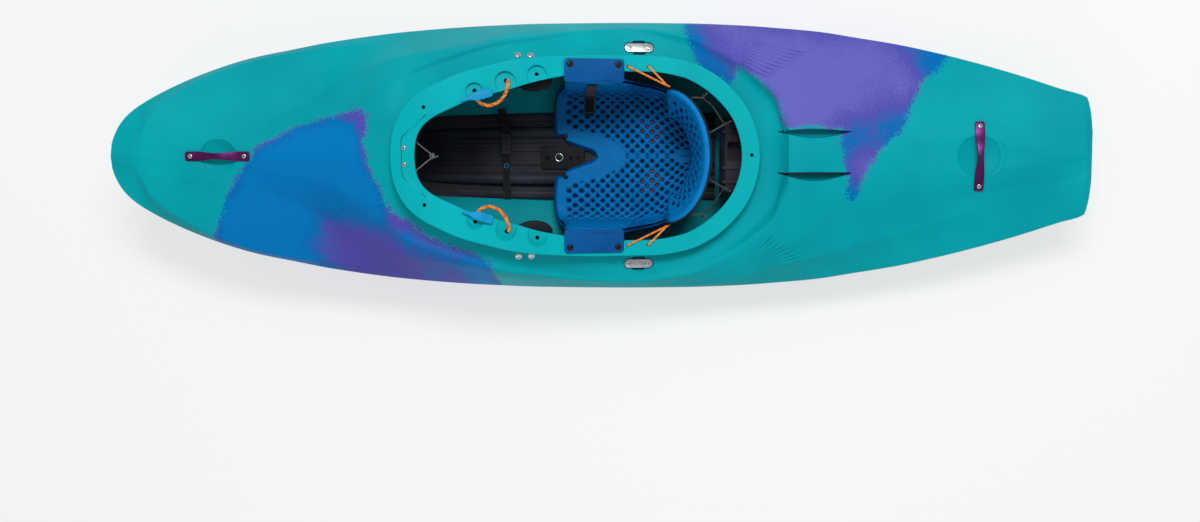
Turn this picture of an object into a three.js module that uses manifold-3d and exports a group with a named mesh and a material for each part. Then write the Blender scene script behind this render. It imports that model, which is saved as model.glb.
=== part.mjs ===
// A short whitewater kayak with its outfitting, in millimetres.
// X runs from bow to stern, +Y is the starboard side and +Z is up. The origin is the middle of the
// boat on the surface that it lies on.
import * as THREE from 'three';
import { mergeVertices } from 'three/addons/utils/BufferGeometryUtils.js';
import Module from 'manifold-3d';

const wasm = await Module();
wasm.setup();

// Driving sizes of the boat
const HULL_LENGTH = 2440;
const HULL_BEAM = 680;
const HULL_HEIGHT = 457;
const HULL_WALL = 5;
const FIT_GAP = 0.3;
const CUT_OVERRUN = 60;

// Cockpit rim
const RIM_FRONT_SETBACK = 730;
const RIM_LENGTH = 892;
const RIM_WIDTH = 494;
const RIM_LIP_DEPTH = 14;
const RIM_PLATE = 5;
const RISER_INSET = 16;
const FLANGE_WIDTH = 68;
const SCALLOP_RADIUS = 24;
const SCALLOP_DEPTH = 3;

// Fasteners
const SCREW_HEAD_RADIUS = 6.5;
const SCREW_HEAD_HEIGHT = 3;
const SCREW_SHANK_RADIUS = 3;
const HOLE_CLEARANCE = 0.4;
const HEAD_SINK = 1.2;

// Grab handles and their finger dishes
const BOW_HANDLE_LENGTH = 163;
const STERN_HANDLE_LENGTH = 173;
const HANDLE_WIDTH = 24;
const HANDLE_THICKNESS = 6;
const HANDLE_RISE = 13;
const HANDLE_FOOT = 26;
const BOW_HANDLE_SETBACK = 275;
const STERN_HANDLE_SETBACK = 277;
const BOW_DISH_RADIUS = 50;
const STERN_DISH_RADIUS = 57;
const DISH_DEPTH = 16;
const HANDLE_SCREW_LENGTH = 9;

// Security bars beside the cockpit
const BAR_LENGTH = 72;
const BAR_WIDTH = 23;
const BAR_THICKNESS = 4;
const BAR_MARGIN = 2;
const BAR_SCREW_PITCH = 50;
const BAR_SCREW_LENGTH = 18;
const BAR_WELL_DEPTH = 18;
const BAR_WELL_MARGIN = 7;
const BAR_FROM_RIM_FRONT = 590;
const BAR_FROM_SIDE = 70;

// Feature lines of the hull. Along is a share of the length from the bow, out a share of the half
// beam and up a share of the height.
const halfBeamShares = [
  [0, 0.088], [0.003, 0.138], [0.007, 0.212], [0.016, 0.3], [0.031, 0.409], [0.052, 0.497], [0.092, 0.635],
  [0.133, 0.735], [0.174, 0.8], [0.215, 0.859], [0.296, 0.938], [0.378, 0.982], [0.439, 0.997], [0.51, 1],
  [0.582, 0.994], [0.643, 0.976], [0.684, 0.953], [0.725, 0.924], [0.765, 0.876], [0.806, 0.824],
  [0.847, 0.756], [0.888, 0.676], [0.929, 0.585], [0.969, 0.485], [0.993, 0.426], [0.997, 0.324], [1, 0.179],
];
const keelShares = [
  [0, 0.796], [0.003, 0.781], [0.011, 0.733], [0.021, 0.672], [0.041, 0.575], [0.072, 0.46], [0.113, 0.33],
  [0.153, 0.232], [0.194, 0.155], [0.235, 0.103], [0.276, 0.063], [0.337, 0.031], [0.398, 0.015],
  [0.46, 0], [0.56, 0], [0.602, 0.004], [0.663, 0.02], [0.725, 0.063], [0.786, 0.129], [0.847, 0.217],
  [0.908, 0.298], [0.969, 0.389], [0.99, 0.418], [1, 0.435],
];
const planingPanelShare = 0.42;
const bottomChineOutShares = [
  [0, 0.5], [0.04, 0.56], [0.1, 0.62], [0.18, 0.7], [0.28, 0.76], [0.4, 0.78], [0.65, 0.78], [0.8, 0.76],
  [0.95, 0.78], [1, 0.8],
];
const bottomChineShares = [
  [0, 0.798], [0.011, 0.737], [0.041, 0.582], [0.092, 0.398], [0.185, 0.19], [0.296, 0.125], [0.392, 0.09],
  [0.49, 0.074], [0.581, 0.07], [0.684, 0.096], [0.798, 0.164], [0.878, 0.265], [0.949, 0.365],
  [0.99, 0.42], [1, 0.437],
];
const lowerChineOutShares = [
  [0, 0.93], [0.05, 0.94], [0.15, 0.965], [0.3, 0.98], [0.4, 0.99], [0.6, 0.996], [1, 0.998],
];
const lowerChineShares = [
  [0, 0.81], [0.02, 0.729], [0.036, 0.685], [0.056, 0.641], [0.081, 0.591], [0.099, 0.53], [0.166, 0.442],
  [0.242, 0.389], [0.296, 0.385], [0.4, 0.368], [0.602, 0.337], [0.725, 0.333], [0.816, 0.348],
  [0.878, 0.379], [0.939, 0.414], [0.973, 0.431], [0.997, 0.44], [1, 0.442],
];
const sheerShares = [
  [0, 0.823], [0.016, 0.777], [0.036, 0.729], [0.062, 0.681], [0.092, 0.621], [0.146, 0.558], [0.185, 0.523],
  [0.225, 0.499], [0.296, 0.46], [0.4, 0.407], [0.602, 0.374], [0.725, 0.37], [0.816, 0.381], [0.878, 0.407],
  [0.939, 0.438], [0.973, 0.457], [0.997, 0.466], [1, 0.451],
];
const knuckleShares = [
  [0, 0.074, 0.836], [0.016, 0.206, 0.827], [0.031, 0.25, 0.832], [0.044, 0.294, 0.814],
  [0.068, 0.462, 0.766], [0.092, 0.576, 0.724], [0.135, 0.7, 0.656], [0.174, 0.759, 0.619],
  [0.197, 0.776, 0.595], [0.215, 0.797, 0.575], [0.245, 0.835, 0.558], [0.291, 0.871, 0.547],
  [0.348, 0.912, 0.547], [0.404, 0.953, 0.514], [0.439, 0.971, 0.477], [0.484, 0.982, 0.451],
  [0.536, 0.985, 0.431], [0.588, 0.974, 0.429], [0.623, 0.95, 0.438], [0.66, 0.874, 0.468],
  [0.701, 0.788, 0.503], [0.74, 0.709, 0.486], [0.806, 0.568, 0.457], [0.878, 0.415, 0.446],
  [0.939, 0.282, 0.457], [0.993, 0.165, 0.481], [1, 0.088, 0.451],
];
const creaseShares = [
  [0, 0.053, 0.841], [0.031, 0.176, 0.84], [0.092, 0.324, 0.761], [0.135, 0.376, 0.711],
  [0.174, 0.441, 0.652], [0.197, 0.462, 0.608], [0.215, 0.488, 0.586], [0.245, 0.588, 0.665],
  [0.291, 0.706, 0.755], [0.348, 0.771, 0.792], [0.378, 0.818, 0.755], [0.404, 0.891, 0.683],
  [0.439, 0.918, 0.608], [0.484, 0.947, 0.536], [0.536, 0.956, 0.499], [0.588, 0.926, 0.492],
  [0.623, 0.882, 0.499], [0.66, 0.735, 0.547], [0.684, 0.671, 0.573], [0.701, 0.618, 0.578],
  [0.74, 0.506, 0.54], [0.806, 0.412, 0.497], [0.908, 0.25, 0.475], [0.993, 0.118, 0.479], [1, 0.065, 0.452],
];
const ridgeShares = [
  [0, 0.035, 0.842], [0.031, 0.132, 0.845], [0.092, 0.162, 0.805], [0.135, 0.147, 0.79],
  [0.174, 0.206, 0.777], [0.202, 0.265, 0.766], [0.215, 0.288, 0.77], [0.259, 0.397, 0.807],
  [0.291, 0.529, 0.84], [0.304, 0.588, 0.845], [0.347, 0.706, 0.834], [0.404, 0.835, 0.768],
  [0.439, 0.871, 0.689], [0.484, 0.918, 0.613], [0.536, 0.935, 0.547], [0.588, 0.882, 0.547],
  [0.602, 0.85, 0.551], [0.623, 0.771, 0.562], [0.642, 0.691, 0.578], [0.66, 0.579, 0.604],
  [0.679, 0.456, 0.621], [0.686, 0.324, 0.626], [0.695, 0.279, 0.628], [0.74, 0.324, 0.575],
  [0.806, 0.279, 0.519], [0.908, 0.176, 0.492], [0.993, 0.076, 0.481], [1, 0.041, 0.453],
];
const troughShares = [
  [0, 0.018, 0.844], [0.031, 0.074, 0.846], [0.092, 0.082, 0.814], [0.135, 0.074, 0.805],
  [0.174, 0.118, 0.805], [0.215, 0.176, 0.821], [0.255, 0.294, 0.849], [0.276, 0.353, 0.867],
  [0.291, 0.441, 0.871], [0.304, 0.535, 0.845], [0.347, 0.662, 0.825], [0.404, 0.788, 0.759],
  [0.439, 0.829, 0.683], [0.484, 0.882, 0.611], [0.536, 0.9, 0.549], [0.588, 0.824, 0.532],
  [0.602, 0.782, 0.532], [0.623, 0.7, 0.536], [0.642, 0.618, 0.545], [0.66, 0.506, 0.554],
  [0.679, 0.368, 0.56], [0.686, 0.206, 0.573], [0.695, 0.088, 0.635], [0.74, 0.147, 0.593],
  [0.806, 0.132, 0.53], [0.993, 0.035, 0.481], [1, 0.024, 0.453],
];
const crownShares = [
  [0, 0.845], [0.016, 0.851], [0.031, 0.847], [0.052, 0.832], [0.092, 0.816], [0.133, 0.81], [0.174, 0.821],
  [0.215, 0.853], [0.255, 0.895], [0.296, 0.928], [0.305, 0.932], [0.313, 0.945], [0.322, 0.974],
  [0.337, 1.011], [0.368, 1.039], [0.393, 1.05], [0.427, 1.09], [0.461, 1.031], [0.5, 0.91], [0.533, 0.755],
  [0.558, 0.637], [0.585, 0.56], [0.612, 0.543], [0.642, 0.547], [0.679, 0.554], [0.686, 0.573],
  [0.695, 0.635], [0.704, 0.635], [0.725, 0.619], [0.745, 0.591], [0.786, 0.554], [0.827, 0.521],
  [0.867, 0.51], [0.908, 0.501], [0.979, 0.499], [0.993, 0.481], [1, 0.453],
];
const stationShares = [
  0, 0.003, 0.008, 0.016, 0.03, 0.045, 0.068, 0.095, 0.13, 0.16, 0.185, 0.205, 0.225, 0.25, 0.275, 0.295,
  0.31, 0.335, 0.365, 0.4, 0.43, 0.46, 0.495, 0.53, 0.56, 0.59, 0.615, 0.64, 0.66, 0.675, 0.686, 0.695,
  0.71, 0.735, 0.77, 0.81, 0.85, 0.89, 0.93, 0.96, 0.98, 0.99, 0.994, 0.9975, 1,
];
const HOLLOW_FIRST_SHARE = 0.045;
const HOLLOW_LAST_SHARE = 0.96;

// Outline and heights of the rim. Along is a share of the rim's length from its front.
const rimOutShares = [
  [0, 0], [0.003, 0.14], [0.012, 0.29], [0.045, 0.49], [0.09, 0.625], [0.13, 0.7], [0.18, 0.785],
  [0.25, 0.865], [0.34, 0.945], [0.45, 0.985], [0.56, 1], [0.7, 1], [0.8, 0.945], [0.87, 0.825],
  [0.93, 0.64], [0.97, 0.44], [0.99, 0.25], [0.998, 0.11], [1, 0],
];
const rimHeightShares = [
  [0, 0.978], [0.05, 0.998], [0.08, 1], [0.12, 0.994], [0.16, 0.983], [0.215, 0.958], [0.271, 0.918],
  [0.33, 0.886], [0.383, 0.852], [0.438, 0.808], [0.55, 0.73], [0.66, 0.665], [0.718, 0.64], [0.83, 0.623],
  [0.942, 0.621], [1, 0.621],
];
const flangeShares = [
  [0, 0.91], [0.06, 0.96], [0.15, 1], [0.3, 0.99], [0.4, 0.82], [0.5, 0.66], [0.6, 0.57], [0.75, 0.59],
  [0.9, 0.65], [1, 0.66],
];

// Monotone cubic through hand-picked pairs, so a line never swings past its points
function valueAt(table, place, column = 1) {
  const last = table.length - 1;
  if (place <= table[0][0]) return table[0][column];
  if (place >= table[last][0]) return table[last][column];
  let i = 0;
  while (table[i + 1][0] < place) i += 1;
  const slope = (k) => (table[k + 1][column] - table[k][column]) / (table[k + 1][0] - table[k][0]);
  const tangent = (k) => {
    if (k === 0) return slope(0);
    if (k === last) return slope(last - 1);
    const before = slope(k - 1);
    const after = slope(k);
    return before * after <= 0 ? 0 : (2 * before * after) / (before + after);
  };
  const span = table[i + 1][0] - table[i][0];
  const t = (place - table[i][0]) / span;
  const t2 = t * t;
  const t3 = t2 * t;
  return (2 * t3 - 3 * t2 + 1) * table[i][column] + (t3 - 2 * t2 + t) * span * tangent(i)
    + (3 * t2 - 2 * t3) * table[i + 1][column] + (t3 - t2) * span * tangent(i + 1);
}

const stationX = (share) => (share - 0.5) * HULL_LENGTH;
const shareAtX = (x) => x / HULL_LENGTH + 0.5;
const rimFrontX = stationX(0) + RIM_FRONT_SETBACK;
const rimRearX = rimFrontX + RIM_LENGTH;
const rimShareAtX = (x) => (x - rimFrontX) / RIM_LENGTH;
const rimTop = (x) => HULL_HEIGHT * valueAt(rimHeightShares, rimShareAtX(x));

// Half of a cross-section as [y, z] points, from the keel round the sheer to the middle of the deck
function halfSection(share) {
  const halfBeam = HULL_BEAM / 2;
  const here = halfBeam * valueAt(halfBeamShares, share);
  const keel = HULL_HEIGHT * valueAt(keelShares, share);
  const deckPoint = (table) => [halfBeam * valueAt(table, share), HULL_HEIGHT * valueAt(table, share, 2)];
  return [
    [0, keel],
    [here * planingPanelShare, keel],
    [here * valueAt(bottomChineOutShares, share), HULL_HEIGHT * valueAt(bottomChineShares, share)],
    [here * valueAt(lowerChineOutShares, share), HULL_HEIGHT * valueAt(lowerChineShares, share)],
    [here, HULL_HEIGHT * valueAt(sheerShares, share)],
    deckPoint(knuckleShares),
    deckPoint(creaseShares),
    deckPoint(ridgeShares),
    deckPoint(troughShares),
    [0, HULL_HEIGHT * valueAt(crownShares, share)],
  ];
}

function fullSection(half) {
  const mirrored = half.slice(1, -1).reverse().map(([y, z]) => [-y, z]);
  return [...half, ...mirrored];
}

// A closed outline moved inwards by a distance, corner by corner
function insetOutline(points, distance) {
  const count = points.length;
  const maxStretch = 1.4;
  return points.map(([y, z], i) => {
    const [py, pz] = points[(i + count - 1) % count];
    const [ny, nz] = points[(i + 1) % count];
    const first = new THREE.Vector2(y - py, z - pz).normalize();
    const second = new THREE.Vector2(ny - y, nz - z).normalize();
    const inward = new THREE.Vector2(-first.y - second.y, first.x + second.x);
    const bisector = inward.clone().normalize();
    const stretch = Math.min(maxStretch, 1 / Math.max(0.1, bisector.dot(new THREE.Vector2(-first.y, first.x))));
    return [y + bisector.x * distance * stretch, z + bisector.y * distance * stretch];
  });
}

// Solid through rings of 3-D points, every ring with as many points, closed by flat ends
function loft(rings) {
  const count = rings[0].length;
  const positions = rings.flat().flatMap((p) => [p.x, p.y, p.z]);
  const faces = [];
  for (let r = 0; r < rings.length - 1; r += 1) {
    for (let i = 0; i < count; i += 1) {
      const a = r * count + i;
      const b = r * count + ((i + 1) % count);
      faces.push(a, b, b + count, a, b + count, a + count);
    }
  }
  for (const r of [0, rings.length - 1]) {
    const ring = rings[r];
    const normal = new THREE.Vector3();
    ring.forEach((p, i) => normal.add(new THREE.Vector3().crossVectors(p, ring[(i + 1) % count])));
    const [u, v] = [0, 1, 2].sort((m, n) => Math.abs(normal.getComponent(m)) - Math.abs(normal.getComponent(n)));
    const flat = ring.map((p) => new THREE.Vector2(p.getComponent(u), p.getComponent(v)));
    const turned = THREE.ShapeUtils.area(flat) < 0;
    const order = turned ? [...flat].reverse() : flat;
    const index = (i) => r * count + (turned ? count - 1 - i : i);
    for (const [a, b, c] of THREE.ShapeUtils.triangulateShape(order, [])) {
      const keep = turned === (r === 0);
      faces.push(...(keep ? [index(a), index(b), index(c)] : [index(a), index(c), index(b)]));
    }
  }
  return solidFromArrays(positions, faces);
}

function solidFromArrays(positions, faces) {
  const geometry = new THREE.BufferGeometry();
  geometry.setAttribute('position', new THREE.Float32BufferAttribute(positions, 3));
  geometry.setIndex(faces);
  const solid = solidFrom(geometry);
  if (solid.volume() >= 0) return solid;
  const flipped = [];
  for (let i = 0; i < faces.length; i += 3) flipped.push(faces[i], faces[i + 2], faces[i + 1]);
  geometry.setIndex(flipped);
  return solidFrom(geometry);
}

function solidFrom(source) {
  const plain = source.clone();
  for (const name of Object.keys(plain.attributes)) if (name !== 'position') plain.deleteAttribute(name);
  const geometry = mergeVertices(plain, 1e-4);
  const kept = [];
  const index = geometry.index.array;
  for (let i = 0; i < index.length; i += 3) {
    const [a, b, c] = [index[i], index[i + 1], index[i + 2]];
    if (a !== b && b !== c && a !== c) kept.push(a, b, c);
  }
  return new wasm.Manifold(new wasm.Mesh({
    numProp: 3,
    vertProperties: new Float32Array(geometry.attributes.position.array),
    triVerts: new Uint32Array(kept),
  }));
}

function geometryFrom(solid) {
  const mesh = solid.getMesh();
  const geometry = new THREE.BufferGeometry();
  geometry.setAttribute('position', new THREE.Float32BufferAttribute(mesh.vertProperties, mesh.numProp));
  geometry.setIndex(Array.from(mesh.triVerts));
  return geometry;
}

const vec = (x, y, z) => new THREE.Vector3(x, y, z);
const mix = (a, b, t) => a + (b - a) * t;

function box(low, high) {
  const size = high.clone().sub(low);
  const geometry = new THREE.BoxGeometry(size.x, size.y, size.z);
  const middle = low.clone().add(high).multiplyScalar(0.5);
  return solidFrom(geometry.translate(middle.x, middle.y, middle.z));
}

// Upright prism over an outline of [x, y] points
function prism(outline, low, high) {
  return loft([low, high].map((z) => outline.map(([x, y]) => vec(x, y, z))));
}

// Prism across the boat over an outline of [x, z] points
function crossPrism(outline, low, high) {
  return loft([low, high].map((y) => outline.map(([x, z]) => vec(x, y, z))));
}

function ball(centre, radius) {
  const geometry = new THREE.SphereGeometry(radius, 32, 24);
  return solidFrom(geometry.translate(centre.x, centre.y, centre.z));
}

function stadium(length, width) {
  const radius = width / 2;
  const reach = length / 2 - radius;
  const steps = 6;
  const points = [];
  for (const side of [1, -1]) {
    for (let i = 0; i <= steps; i += 1) {
      const turn = Math.PI * (i / steps - 0.5);
      points.push([side * (reach + radius * Math.cos(turn)), side * radius * Math.sin(turn)]);
    }
  }
  return points;
}

// Frame with its X along one direction and its Z as near to up as that allows
function frameAt(origin, along, up) {
  const x = along.clone().normalize();
  const y = up.clone().cross(x).normalize();
  const z = x.clone().cross(y);
  return new THREE.Matrix4().makeBasis(x, y, z).setPosition(origin);
}

const moved = (solid, matrix) => solid.transform(matrix.toArray());

// Round tube along points, with its end rings square to its ends
function tube(points, radius, sides) {
  const rings = points.map((point, i) => {
    const before = points[Math.max(i - 1, 0)];
    const after = points[Math.min(i + 1, points.length - 1)];
    const along = after.clone().sub(before).normalize();
    return { point, along };
  });
  let across = vec(0, 0, 1).cross(rings[0].along).normalize();
  return loft(rings.map(({ point, along }) => {
    across = across.sub(along.clone().multiplyScalar(across.dot(along))).normalize();
    const second = along.clone().cross(across);
    return Array.from({ length: sides }, (_, k) => {
      const turn = (2 * Math.PI * k) / sides;
      return point.clone().addScaledVector(across, radius * Math.cos(turn))
        .addScaledVector(second, radius * Math.sin(turn));
    });
  }));
}

function smoothRoute(points, steps) {
  return new THREE.CatmullRomCurve3(points, false, 'centripetal').getPoints(steps);
}

// Height of the deck, and half width of the side, on the flat facets between two stations
function bracket(x) {
  const share = Math.min(Math.max(shareAtX(x), 0), 1);
  let i = 0;
  while (i < stationShares.length - 2 && stationShares[i + 1] < share) i += 1;
  const t = (share - stationShares[i]) / (stationShares[i + 1] - stationShares[i]);
  return { first: halfSection(stationShares[i]), second: halfSection(stationShares[i + 1]), t };
}

function onPath(path, place, from, to) {
  for (let i = 0; i < path.length - 1; i += 1) {
    const a = path[i];
    const b = path[i + 1];
    if ((a[from] - place) * (b[from] - place) <= 0 && a[from] !== b[from]) {
      return mix(a[to], b[to], (place - a[from]) / (b[from] - a[from]));
    }
  }
  return path[path.length - 1][to];
}

const SHEER_INDEX = 4;

function deckHeight(x, y) {
  const { first, second, t } = bracket(x);
  const height = (half) => onPath(half.slice(SHEER_INDEX), Math.abs(y), 0, 1);
  return mix(height(first), height(second), t);
}

function sideWidth(x, z) {
  const { first, second, t } = bracket(x);
  const width = (half) => onPath(half.slice(0, SHEER_INDEX + 1), z, 1, 0);
  return mix(width(first), width(second), t);
}

const PROBE = 8;

function deckNormal(x, y) {
  const alongX = (deckHeight(x + PROBE, y) - deckHeight(x - PROBE, y)) / (2 * PROBE);
  const alongY = (deckHeight(x, y + PROBE) - deckHeight(x, y - PROBE)) / (2 * PROBE);
  return vec(-alongX, -alongY, 1).normalize();
}

function sideNormal(x, z, side) {
  const alongX = (sideWidth(x + PROBE, z) - sideWidth(x - PROBE, z)) / (2 * PROBE);
  const alongZ = (sideWidth(x, z + PROBE) - sideWidth(x, z - PROBE)) / (2 * PROBE);
  return vec(-alongX, side, -alongZ).normalize();
}

// Every solid by its node name, and what is drilled for each fastener
const solids = {};
const finishes = {};

function keep(name, solid, finish) {
  solids[name] = solid;
  finishes[name] = finish;
}

function turned(profile, at, out, sides) {
  const lathe = new THREE.LatheGeometry(profile.map(([r, h]) => new THREE.Vector2(r, h)), sides);
  const turn = new THREE.Quaternion().setFromUnitVectors(vec(0, 1, 0), out);
  return solidFrom(lathe.applyMatrix4(new THREE.Matrix4().makeRotationFromQuaternion(turn).setPosition(at)));
}

// A screw or bolt whose head sits on the surface at a point, with its holes in the named pieces
function fasten(name, at, out, length, through, sizes = {}) {
  const head = sizes.head ?? SCREW_HEAD_RADIUS;
  const rise = sizes.rise ?? SCREW_HEAD_HEIGHT;
  const shank = sizes.shank ?? SCREW_SHANK_RADIUS;
  const sink = sizes.sink ?? HEAD_SINK;
  const base = FIT_GAP - sink;
  const crownShare = 0.62;
  const edgeShare = 0.55;
  const profile = [[0, -length], [shank, -length]];
  if (sizes.nut) {
    profile.splice(0, 2, [0, -length], [sizes.nut, -length], [sizes.nut, sizes.nutThick - length]);
    profile.push([shank, sizes.nutThick - length]);
  }
  profile.push([shank, base], [head, base], [head, base + rise * edgeShare]);
  profile.push([head * crownShare, base + rise], [0, base + rise]);
  const sides = 10;
  keep(name, turned(profile, at, out, sides), sizes.finish ?? 'dark_steel');
  const bore = shank + HOLE_CLEARANCE;
  const seat = head + HOLE_CLEARANCE;
  const cutter = turned([[0, -length - HOLE_CLEARANCE], [bore, -length - HOLE_CLEARANCE], [bore, -sink],
    [seat, -sink], [seat, CUT_OVERRUN / 4], [0, CUT_OVERRUN / 4]], at, out, sides);
  for (const piece of through) solids[piece] = solids[piece].subtract(cutter);
}

// Outline of the rim, as points with their inward direction in plan
const RIM_STEPS = 30;

function rimOutline() {
  const plan = [];
  for (let i = 0; i < 2 * RIM_STEPS; i += 1) {
    const side = i <= RIM_STEPS ? 1 : -1;
    const t = i <= RIM_STEPS ? i / RIM_STEPS : (2 * RIM_STEPS - i) / RIM_STEPS;
    const share = (1 - Math.cos(Math.PI * t)) / 2;
    plan.push([rimFrontX + share * RIM_LENGTH, side * (RIM_WIDTH / 2) * valueAt(rimOutShares, share), share]);
  }
  const count = plan.length;
  return plan.map(([x, y, share], i) => {
    const [px, py] = plan[(i + count - 1) % count];
    const [nx, ny] = plan[(i + 1) % count];
    const inward = new THREE.Vector2(ny - py, -(nx - px)).normalize();
    return { x, y, share, inward };
  });
}

const rim = rimOutline();
const insetRim = (distance) => rim.map((p) => [p.x + p.inward.x * distance, p.y + p.inward.y * distance]);
const flangeAt = (share) => FLANGE_WIDTH * valueAt(flangeShares, share);

// Closed ring of profiles, each given as [inset, height] pairs by a function of the rim point
function coamingRing() {
  const riserEmbed = HULL_WALL * 0.6;
  const edge = RIM_PLATE / 2;
  const rings = rim.map((p) => {
    const flange = flangeAt(p.share);
    const place = (inset, drop) => {
      const x = p.x + p.inward.x * inset;
      const y = p.y + p.inward.y * inset;
      return vec(x, y, rimTop(x) - drop);
    };
    const foot = (inset) => {
      const point = place(inset, 0);
      point.z = deckHeight(point.x, point.y) - riserEmbed;
      return point;
    };
    return [
      place(0, RIM_LIP_DEPTH), place(0, edge), place(edge, 0), place(flange, 0), place(flange, RIM_PLATE),
      place(RISER_INSET + HULL_WALL, RIM_PLATE), foot(RISER_INSET + HULL_WALL), foot(RISER_INSET),
      place(RISER_INSET, RIM_PLATE), place(RIM_PLATE, RIM_PLATE), place(RIM_PLATE, RIM_LIP_DEPTH),
    ];
  });
  const count = rings[0].length;
  const faces = [];
  rings.forEach((_, r) => {
    const next = (r + 1) % rings.length;
    for (let i = 0; i < count; i += 1) {
      const j = (i + 1) % count;
      faces.push(r * count + i, r * count + j, next * count + j);
      faces.push(r * count + i, next * count + j, next * count + i);
    }
  });
  return solidFromArrays(rings.flat().flatMap((p) => [p.x, p.y, p.z]), faces);
}

const hullStations = (inset, first, last) => stationShares
  .filter((share) => share >= first && share <= last)
  .map((share) => insetOutline(fullSection(halfSection(share)), inset)
    .map(([y, z]) => vec(stationX(share), y, z)));

// Finger dishes under the grab handles, and pockets under the security bars
const bowHandleX = stationX(0) + BOW_HANDLE_SETBACK;
const sternHandleX = stationX(1) - STERN_HANDLE_SETBACK;
const dishes = [[bowHandleX, BOW_DISH_RADIUS], [sternHandleX, STERN_DISH_RADIUS]].map(([x, reach]) => {
  const radius = (reach * reach + DISH_DEPTH * DISH_DEPTH) / (2 * DISH_DEPTH);
  return { centre: vec(x, 0, deckHeight(x, 0) - DISH_DEPTH + radius), radius };
});
const barX = rimFrontX + BAR_FROM_RIM_FRONT;
const barOffset = HULL_BEAM / 2 - BAR_FROM_SIDE;
const barFrames = [-1, 1].map((side) => frameAt(
  vec(barX, side * barOffset, deckHeight(barX, barOffset)),
  vec(1, 0, (deckHeight(barX + PROBE, barOffset) - deckHeight(barX - PROBE, barOffset)) / (2 * PROBE)),
  deckNormal(barX, side * barOffset),
));

function recesses(grown) {
  const cuts = dishes.map(({ centre, radius }) => ball(centre, radius + grown));
  for (const frame of barFrames) {
    const seat = prism(stadium(BAR_LENGTH + 2 * (BAR_MARGIN + grown), BAR_WIDTH + 2 * (BAR_MARGIN + grown)),
      -BAR_THICKNESS - grown, CUT_OVERRUN / 2);
    const reach = BAR_SCREW_PITCH - 2 * (SCREW_HEAD_RADIUS + BAR_MARGIN) + 2 * grown;
    const wellHalf = BAR_WIDTH / 2 + BAR_WELL_MARGIN + grown;
    const well = box(vec(-reach / 2, -wellHalf, -BAR_WELL_DEPTH - grown), vec(reach / 2, wellHalf, CUT_OVERRUN / 2));
    cuts.push(moved(seat.add(well), frame));
  }
  return cuts.reduce((all, cut) => all.add(cut));
}

const innerSpace = (gap) => loft(hullStations(HULL_WALL + gap, HOLLOW_FIRST_SHARE, HOLLOW_LAST_SHARE))
  .subtract(recesses(HULL_WALL + gap));
const fitSpace = innerSpace(FIT_GAP);

function hullShell() {
  const opening = insetRim(RISER_INSET + HULL_WALL / 2);
  let shell = loft(hullStations(0, 0, 1)).subtract(recesses(0)).subtract(innerSpace(0));
  shell = shell.subtract(prism(opening, HULL_HEIGHT / 2, 2 * HULL_HEIGHT));
  shell = shell.add(coamingRing());
  const scallopShares = [0.185, 0.275, 0.365];
  for (const share of scallopShares) {
    for (const side of [-1, 1]) {
      const x = rimFrontX + share * RIM_LENGTH;
      const out = (RIM_WIDTH / 2) * valueAt(rimOutShares, share) - flangeAt(share);
      const top = rimTop(x) - SCALLOP_DEPTH;
      const tilt = vec(-(rimTop(x + PROBE) - rimTop(x - PROBE)) / (2 * PROBE), 0, 1).normalize();
      shell = shell.subtract(turned([[0, 0], [SCALLOP_RADIUS, 0], [SCALLOP_RADIUS, SCALLOP_RADIUS],
        [0, SCALLOP_RADIUS]], vec(x, side * out, top), tilt, 20));
    }
  }
  return shell;
}

keep('hull_shell', hullShell(), 'teal_shell');

// Grab handle whose strip follows the deck between its feet and arches up in the middle
function grabHandle(name, centreX, length, crosswise) {
  const steps = 14;
  const waistShare = 0.7;
  const half = length / 2;
  const rings = (drop, grow, extra) => Array.from({ length: steps + 1 }, (_, i) => {
    const u = mix(-half, half, i / steps);
    const free = half - HANDLE_FOOT;
    const lift = Math.abs(u) >= free ? 0 : (1 + Math.cos((Math.PI * u) / free)) / 2;
    const [x, y] = crosswise ? [centreX, u] : [centreX + u, 0];
    const base = deckHeight(x, y) - HEAD_SINK + (HANDLE_RISE - HANDLE_THICKNESS) * lift - drop;
    const top = base + HANDLE_THICKNESS + drop + extra;
    const wide = (HANDLE_WIDTH / 2) * mix(1, waistShare, lift) + grow;
    const point = (across, z) => (crosswise ? vec(x + across, y, z) : vec(x, y + across, z));
    return [point(-wide, base), point(wide, base), point(wide, top), point(-wide, top)];
  });
  keep(name, loft(rings(0, 0, 0)), 'purple_anodised');
  solids.hull_shell = solids.hull_shell.subtract(loft(rings(FIT_GAP, HOLE_CLEARANCE, CUT_OVERRUN)
    .map((ring, i) => {
      const u = mix(-half, half, i / steps);
      const nudge = Math.sign(u) * HOLE_CLEARANCE * (i === 0 || i === steps ? 1 : 0);
      return ring.map((p) => (crosswise ? vec(p.x, p.y + nudge, p.z) : vec(p.x + nudge, p.y, p.z)));
    })));
  const reach = half - HANDLE_FOOT / 2;
  const ends = crosswise ? ['left', 'right'] : ['front', 'rear'];
  [-1, 1].forEach((side, k) => {
    const [x, y] = crosswise ? [centreX, side * reach] : [centreX + side * reach, 0];
    const out = deckNormal(x, y);
    const at = vec(x, y, deckHeight(x, y) - HEAD_SINK).addScaledVector(out, HANDLE_THICKNESS);
    fasten(`${name.replace('_grab_handle', '')}_handle_screw_${ends[k]}`, at, out, HANDLE_SCREW_LENGTH,
      [name, 'hull_shell'], { finish: 'bright_steel' });
  });
}

grabHandle('bow_grab_handle', bowHandleX, BOW_HANDLE_LENGTH, false);
grabHandle('stern_grab_handle', sternHandleX, STERN_HANDLE_LENGTH, true);

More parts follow.
